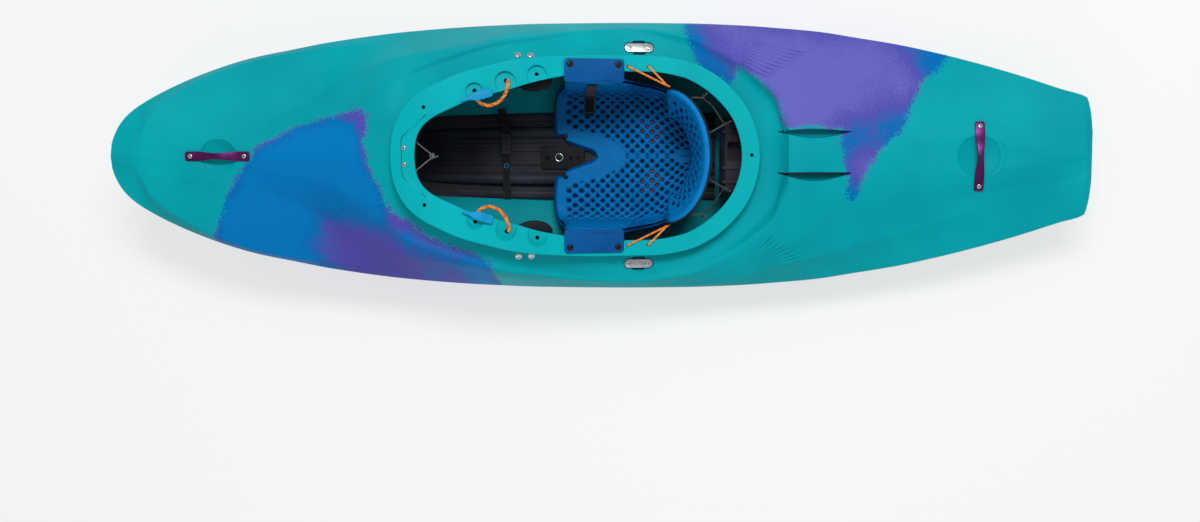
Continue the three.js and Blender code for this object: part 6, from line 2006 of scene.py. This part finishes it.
# Outline of a tab from its bow end: share of its length, of its width and of its thickness
tab_line = [
    (0, 0.16, 0.4), (0.02, 0.26, 0.6), (0.1, 0.34, 0.8), (0.24, 0.4, 0.85), (0.34, 0.62, 0.95),
    (0.42, 0.92, 1), (0.5, 1, 1), (0.8, 1, 1), (0.92, 0.97, 1), (0.975, 0.86, 0.85), (1, 0.6, 0.5),
]


def pull_tab(side, label):
    middle_x = RIM_FRONT_X + SCALLOP_MIDDLE_SHARE * RIM_LENGTH
    lift = TAB_CLEARANCE + TAB_THICKNESS / 2
    bow_end = rim_point(middle_x - TAB_SETBACK, TAB_FROM_EDGE, side, lift)
    rear_end = rim_point(middle_x - TAB_SETBACK + TAB_LENGTH, TAB_FROM_EDGE, side, lift)
    rings = []
    for far, wide, thick in tab_line:
        width, height = TAB_WIDTH * wide, TAB_THICKNESS * thick
        section = soft_rectangle(width, height, min(width, height) * 0.35)
        rings.append([Vector((far * TAB_LENGTH, y, z)) for y, z in section])
    return finished(skin(rings), f"cord_tab_{label}", "hull", tab_blue, [f"pull_tab_{label}"],
                    smooth=60, matrix=frame_at(bow_end, rear_end - bow_end, UP))


def pull_cord(side, label):
    middle_x = RIM_FRONT_X + SCALLOP_MIDDLE_SHARE * RIM_LENGTH
    points = []
    for aft, out, up in pull_route_shares:
        point = rim_point(middle_x + aft * PULL_CORD, out * PULL_CORD, side, GAP + PULL_CORD / 2)
        point.z += up * PULL_CORD
        points.append(point)
    route = smooth_route(points, 90)
    frames = route_frames(route)
    bm = bmesh.new()
    for strand in range(3):
        winding = []
        length = 0.0
        for i, (point, _, across, second) in enumerate(frames):
            if i:
                length += (point - route[i - 1]).length
            turn = 2 * math.pi * (length / LAY_PITCH + strand / 3)
            sideways = across * math.cos(turn) + second * math.sin(turn)
            winding.append(point + sideways * (PULL_CORD - STRAND) / 2)
        add_tube(bm, winding, STRAND / 2, 8, [0.0, 1.0, 0.15][strand])
    cord = finished(bm, f"pull_loop_{label}", "hull", orange_braid, [f"pull_cord_{label}"],
                    smooth=60)
    tab = pull_tab(side, label)
    length = sum((b - a).length for a, b in zip(route, route[1:]))
    return length


for side, label in SIDES:
    print("pull cord", label, round(pull_cord(side, label), 4), "m")

# %% [markdown]
# The other cords are held at both ends. The tension cords run from holes in the rim to the ends of
# the backrest, and so do the black bungees behind; as they span two bodies, they are left unattached.

# %% Tension cords, bungees and the knot at the front
TENSION_CORD = 0.005
BUNGEE = 0.004


def tension_cord(side, label):
    eye = Vector((BACK_END_X + 0.004, side * (BACK_HALF_WIDTH + 0.004), back_top(1) - 0.004))
    bm = bmesh.new()
    for hole_x, lift in ((HANGER_REAR_X + 0.009, 0.0), (HANGER_REAR_X + 0.059, 0.001)):
        hole = rim_point(hole_x, 0.014, side, -0.004)
        up = rim_point(hole_x + 0.0015, 0.0115, side, TENSION_CORD / 2 + GAP + lift)
        pull = (eye - up).normalized()
        over = up + pull * 0.03
        over.z = max(over.z, rim_top(over.x) + TENSION_CORD / 2 + GAP)
        end = eye + Vector((0.006, -side * 0.002, -0.006 + lift * 8))
        route = smooth_route([hole, up, over, over.lerp(eye, 0.6), eye, end], 60)
        add_tube(bm, route, TENSION_CORD / 2, 8, 0.3 + lift * 400)
    start = rim_point(HANGER_REAR_X + 0.04, 0.0, side, 0.0)
    nodes = [f"backrest_cord_{label}"]
    return finished(bm, f"tension_cord_{label}", "hull", orange_braid, nodes, smooth=60,
                    between=(start, eye))


def rear_bungee(side, label):
    """One cord: back, hole in the rim, along under the rim, next hole and back again."""
    bm = bmesh.new()
    outline = rim_outline(60)
    ties, holes = [], []
    for step, share_of_back in ((24, 0.62), (27, 0.22)):
        place, inward, share = outline[step]
        inset = flange_at(share)
        tie = back_point(side * share_of_back, -BUNGEE / 2 - GAP, BACK_TOP - 0.016)
        inner = place + inward * (inset + BUNGEE)
        outer = place + inward * (inset - 0.009)
        near = Vector((inner.x, side * abs(inner.y), rim_top(inner.x) + BUNGEE / 2 + GAP))
        far = Vector((outer.x, side * abs(outer.y), rim_top(outer.x) + BUNGEE / 2))
        down = Vector((far.x + 0.002, far.y, far.z - 0.006))
        before = tie + Vector((-0.002, 0, 0))
        route = smooth_route([before, tie, tie.lerp(near, 0.5), near, far, down], 48)
        add_tube(bm, route, BUNGEE / 2, 8, 0.1)
        ties.append(tie)
        holes.append(near - Vector((0, 0, RIM_LIP + BUNGEE)))
    place, inward, share = outline[25]
    middle = place + inward * (flange_at(share) + BUNGEE)
    middle = Vector((middle.x, side * abs(middle.y), holes[0].z))
    first_end = holes[0] + Vector((0, side * 0.01, 0))
    last_end = holes[1] + Vector((0.01, 0, 0))
    add_tube(bm, smooth_route([first_end, holes[0], middle, holes[1], last_end], 40), BUNGEE / 2, 8, 0.1)
    print("bungee ties", [tuple(round(value, 3) for value in tie) for tie in ties])
    middle = outline[26][0]
    start = Vector((middle.x, side * abs(middle.y), rim_top(middle.x)))
    return finished(bm, f"back_bungee_{label}", "hull", black_bungee, [f"rear_bungee_{label}"],
                    smooth=60, between=(start, (ties[0] + ties[1]) / 2))


for side, label in SIDES:
    tension_cord(side, label)
    rear_bungee(side, label)


# Turns of the front knot, from the tip of the bungee
knot_line = [
    (-0.008, 0.004, 0.001), (-0.002, -0.005, 0.004), (0.003, 0.004, 0.002), (-0.003, 0.006, -0.003),
    (-0.006, -0.005, -0.001), (0.004, -0.003, 0.002), (0.012, 0.001, -0.002),
]


def front_bungee_piece():
    radius = 0.0015
    under = -RIM_PLATE - radius - GAP
    inset = FLANGE * value_at(flange_shares, 0.0)
    height = rim_top(RIM_FRONT_X + inset) + under
    ends = [Vector((RIM_FRONT_X + inset - 0.004, side * 0.04, height)) for side in (1, -1)]
    tip = Vector((ends[0].x + 0.04, 0.0, ends[0].z - 0.042))
    slack = [tip + Vector((-0.009, 0.009, 0.003)), tip + Vector((-0.003, 0.0045, 0))]
    mirrored = [Vector((p.x, -p.y, p.z)) for p in reversed(slack)]
    bm = bmesh.new()
    add_tube(bm, smooth_route([ends[0]] + slack + [tip] + mirrored + [ends[1]], 72), radius, 8, 0.2)
    knot = smooth_route([tip + Vector(step) for step in knot_line], 60)
    add_tube(bm, knot, radius, 8, 0.0)
    return finished(bm, "bow_bungee", "hull", grey_bungee, ["front_bungee"], smooth=60)


front_bungee_piece()
print("held cords done")

# %% [markdown]
# A webbing strap crosses the rail under a side-release buckle. The strap is a ribbon that follows
# the rail's section; the buckle is a bevelled body with its two ends and its side springs set
# against it.

# %% Front strap and buckle
FRONT_STRAP_X = -0.27
FRONT_STRAP_WIDTH = 0.02
strap_line = [
    (0, -0.112, 0.0236), (0, -0.098, 0.0244), (0, -0.08, 0.034), (0, -0.068, 0.0422), (0, -0.05, 0.0424),
    (0, 0.0, 0.0424), (0, 0.05, 0.0424), (0, 0.068, 0.0422), (-0.002, 0.085, 0.036), (-0.007, 0.105, 0.033),
    (-0.014, 0.126, 0.04),
]
centres = smooth_route([Vector((FRONT_STRAP_X + x, y, z + 0.001)) for x, y, z in strap_line], 80)
acrosses = [Vector((1, 0, 0))] * len(centres)
ribbon("rail_strap", centres, acrosses, FRONT_STRAP_WIDTH, 0.0016, black_webbing, ["front_strap"])


grey_plastic = plain_finish("dark_grey_moulding", colour(54, 58, 66), colour(40, 43, 50), 0.42,
                            grain=700.0, patch=40.0)


# Parts of the buckle on its body: middle, length, width and height
buckle_parts = [
    (0.0, -0.0215, 0.026, 0.014, 0.008), (0.0, 0.021, 0.027, 0.012, 0.0085),
    (-0.0135, -0.004, 0.0045, 0.026, 0.0075), (0.0135, -0.004, 0.0045, 0.026, 0.0075),
]


def buckle_piece():
    middle = Vector((FRONT_STRAP_X, 0.034, 0.044))
    bm = slab(soft_rectangle(0.03, 0.032, 0.004), 0.0, 0.0105, roll=0.003, segments=4)
    for x, y, length, width, high in buckle_parts:
        add_mesh(bm, slab(soft_rectangle(length, width, 0.002, at=(x, y)), 0.0006, high, roll=0.0012))
    return finished(bm, "side_release_buckle", "hull", grey_plastic, ["strap_buckle"],
                    matrix=Matrix.Translation(middle))


buckle_piece()
finished(torus(0.0055, 0.0011), "strap_marker_ring", "hull", tab_blue,
         matrix=Matrix.Translation((FRONT_STRAP_X, -0.026, 0.0445)))
print("front strap done")

# %% [markdown]
# The thigh braces are curled blades under the deck. One blade is a lofted run of rounded sections,
# narrower towards the middle of the boat, with a slot for its two bolts.

# %% Thigh braces
BRACE_LENGTH = 0.104
BRACE_THICKNESS = 0.005
BRACE_OUTER = 0.015
BRACE_INNER = 0.074
BRACE_CURL = 0.026
BRACE_TOP = -0.017

# From the outer edge to the inner one: share of the way in, of the curl down and of the length
brace_line = [(0, 0, 0.8), (0.03, 0, 0.86), (0.16, 0, 1), (0.42, 0, 1), (0.62, 0.3, 1), (0.78, 0.6, 0.94),
              (0.88, 0.8, 0.78), (0.95, 0.94, 0.55), (1, 1, 0.2)]
BRACE_SWEEP = 0.024


def brace_profile(t):
    return tuple(value_at([(row[0], row[k]) for row in brace_line], t) for k in (1, 2))


for side, label in SIDES:
    rings = []
    for k in range(25):
        t = k / 24
        curl, wide = brace_profile(t)
        y = -side * (-BRACE_OUTER + (BRACE_INNER + BRACE_OUTER) * t)
        z = BRACE_TOP - BRACE_CURL * curl
        middle = (BRACE_SWEEP * ease(t), z - BRACE_THICKNESS / 2)
        section = soft_rectangle(BRACE_LENGTH * wide, BRACE_THICKNESS, 0.002, at=middle)
        rings.append([Vector((x, y, up)) for x, up in section])
    brace = finished(skin(rings), f"brace_blade_{label}", f"brace_{label}", black_plastic,
                     [f"thigh_brace_{label}"], smooth=50, matrix=brace_frame(side))
    slot = slab(stadium(0.072, 0.0068), BRACE_TOP * 2, 0.0)
    carve(brace, cutter_from(slot, brace_frame(side)))
    shade_by_angle(brace, 50)
print("braces done")

# %% [markdown]
# The foam face of the footrest is a rounded slab, and the solids that are left keep their shape and
# only get a better finish.

# %% Footrest foam and the finishes of the solids that stay
FOOT_HALF = 0.222
FOOT_HEIGHT = 0.205
FOOT_LOW = 0.084
FOOT_SHARE = 0.9

foot_low, foot_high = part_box("footrest_foam")
foot_line = [(0.74, 0), (0.92, 0.14), (0.92, 0.62), (0.7, 0.86), (0.3, 1)]
outline = []
for side in (1, -1):
    half = [(side * out * FOOT_HALF * FOOT_SHARE, (up - 0.5) * FOOT_HEIGHT * FOOT_SHARE)
            for out, up in foot_line]
    outline += half if side == 1 else half[::-1]
bm = slab(outline, 0.0004, foot_high.x - foot_low.x - 0.0004)
uprights = [edge for edge in bm.edges if abs(edge.verts[0].co.z - edge.verts[1].co.z) > 0.01]
round_over(bm, uprights, 0.012, segments=4)
round_over(bm, edges_above(bm, foot_high.x - foot_low.x - 0.001), 0.005, segments=4)
upright = Matrix(((0, 0, 1), (1, 0, 0), (0, 1, 0))).to_4x4()
place = Matrix.Translation((foot_low.x, 0, FOOT_LOW + FOOT_HEIGHT / 2)) @ upright
foam = finished(bm, "footrest_face_foam", "footrest", black_foam, ["footrest_foam"], matrix=place)

kept_finishes = {
    "footrest_plate": alloy, "footrest_rail_left": black_plastic, "footrest_rail_right": black_plastic,
    "backrest_shell": black_plastic,
}
for name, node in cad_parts.items():
    if not node.hide_render:
        finish = kept_finishes.get(name)
        print("kept solid", name, "finish", finish.material.name if finish else "MISSING")
        if finish:
            for slot in node.material_slots:
                slot.material = finish.material

# %% [markdown]
# Fans of fine ribs are moulded in the deck behind the cockpit on both sides. Each rib is a slim
# ridge, half sunk in the deck, that tapers at both ends.

# %% Ribs on the rear deck
RIB_RADIUS = 0.0042
# Ends of the first and the last rib of each fan: near the rim first, as (x, y)
rib_fans = {1: ([(0.384, 0.288), (0.352, 0.234)], [(0.556, 0.25), (0.441, 0.186)]),
            -1: ([(0.396, -0.289), (0.376, -0.254)], [(0.548, -0.247), (0.447, -0.178)])}
FAN_RIBS = 9


def rib(bm, start, end):
    steps = 28
    rings = []
    for k in range(steps + 1):
        t = k / steps
        x, y = along(start, end, t)
        size = RIB_RADIUS * max(0.06, math.sin(math.pi * min(1.0, t * 1.15 + 0.03)) ** 0.6)
        across = Vector((-(end[1] - start[1]), end[0] - start[0], 0)).normalized()
        ring = []
        for i in range(9):
            turn = math.pi * i / 8
            spot = Vector((x, y, 0)) + across * (size * 1.5 * math.cos(turn))
            z = deck_height(spot.x, spot.y) + size * 1.2 * math.sin(turn) - 0.0008
            ring.append(Vector((spot.x, spot.y, z)))
        ring.append(Vector((x, y, deck_height(x, y) - 0.003)))
        rings.append(ring)
    add_mesh(bm, skin(rings))


bm = bmesh.new()
for side in (-1, 1):
    for k in range(FAN_RIBS):
        t = k / (FAN_RIBS - 1)
        near, far = rib_fans[side]
        rib(bm, along(near[0], near[1], t), along(far[0], far[1], t))
ribs = finished(bm, "deck_ribs", "hull", hull_finish, smooth=60)
add_fields(ribs.data)

# %% [markdown]
# The drilled holes in the rim and in the recesses get their discs of painted shade, and a thin
# dark tube paints the shadow along the step of the pad at the rim's front.

# %% Holes in the rim and the painted shadow of its step
# Discs of painted shade stand for the holes in the rim and in its recesses.
for side, label in SIDES:
    x = -0.404
    rim_hole(f"rim_hole_{label}", Vector((x, side * 0.117, rim_top(x))), rim_normal(x))
    for k, (share, radius, middle) in enumerate(recesses_of_rim):
        x = RIM_FRONT_X + share * RIM_LENGTH - 0.004
        place = rim_point(x, middle + 0.003, side, recess_floor(middle + 0.003) + 0.0003)
        rim_hole(f"cord_hole_{label}_{k + 1}", place, rim_normal(x), 0.0048)
    for k, along_rim in enumerate((0.009, 0.059)):
        x = HANGER_REAR_X + along_rim
        rim_hole(f"tension_hole_{label}_{k + 1}", rim_point(x, 0.0125, side, 0.0), rim_normal(x), 0.0038)
step_line = [
    (-0.398, 0.1), (-0.4547, 0.049), (-0.459, 0.04), (-0.459, 0.0), (-0.459, -0.035), (-0.4547, -0.049),
    (-0.4, -0.098),
]
# Painted shadow: a thin dark tube along the step of the pad stands for the shadow of its edge.
bm = bmesh.new()
route = smooth_route([Vector((x, y, rim_top(x) + 0.0001)) for x, y in step_line], 60)
add_tube(bm, route, 0.0009, 8, 0.0)
shadow_finish = plain_finish("teal_in_shadow", colour(0, 112, 120), colour(0, 96, 104), 0.6, gloss=0.05)
finished(bm, "rim_step_painted_shadow", "hull", shadow_finish, smooth=60)
rim_hole("rim_hole_rear", Vector((0.381, 0.003, rim_top(0.381))), UP)

# %% [markdown]
# The boat lies on a pale floor under one large soft lamp from its starboard side and an even sky.

# %% Floor, lamps and backdrop
view = bpy.context.scene.view_settings
view.view_transform = "Standard"


def background_ray(finish):
    path = finish.add("ShaderNodeLightPath")
    seen = finish.maths("MAXIMUM", path.outputs["Is Camera Ray"], path.outputs["Is Glossy Ray"])
    return finish.maths("MAXIMUM", seen, path.outputs["Is Transmission Ray"])


bm = bmesh.new()
bmesh.ops.create_grid(bm, x_segments=2, y_segments=2, size=14.0)
floor = object_from(bm, "floor")
floor_finish = Finish("pale_floor", 0.9)
floor_finish.shader.inputs["Base Color"].default_value = colour(238, 239, 240)
glow = floor_finish.add("ShaderNodeEmission")
blend = floor_finish.add("ShaderNodeMixShader")
floor_finish.join(floor_finish.maths("MULTIPLY", background_ray(floor_finish), 0.62), blend, "Fac")
floor_finish.links.new(floor_finish.shader.outputs[0], blend.inputs[1])
floor_finish.links.new(glow.outputs[0], blend.inputs[2])
floor_finish.links.new(blend.outputs[0], floor_finish.nodes["Material Output"].inputs["Surface"])
floor.data.materials.append(floor_finish.material)

world = bpy.data.worlds.new("studio")
bpy.context.scene.world = world
world.use_nodes = True
world.node_tree.nodes["Background"].inputs["Color"].default_value = (1, 1, 1, 1)
world.node_tree.nodes["Background"].inputs["Strength"].default_value = 0.5


def soft_lamp(name, place, size, power, aim=(0, 0, 0.2)):
    lamp = bpy.data.objects.new(name, bpy.data.lights.new(name, "AREA"))
    lamp.data.shape = "RECTANGLE"
    lamp.data.size, lamp.data.size_y = size
    lamp.data.energy = power
    lamp.location = place
    lamp.rotation_mode = "QUATERNION"
    lamp.rotation_quaternion = (Vector(aim) - Vector(place)).to_track_quat("-Z", "Y")
    bpy.context.scene.collection.objects.link(lamp)
    return lamp


soft_lamp("starboard_lamp", (0.5, 2.0, 4.6), (2.2, 0.9), 140.0)
soft_lamp("port_lamp", (0.2, -3.6, 2.4), (3.0, 1.2), 16.0)
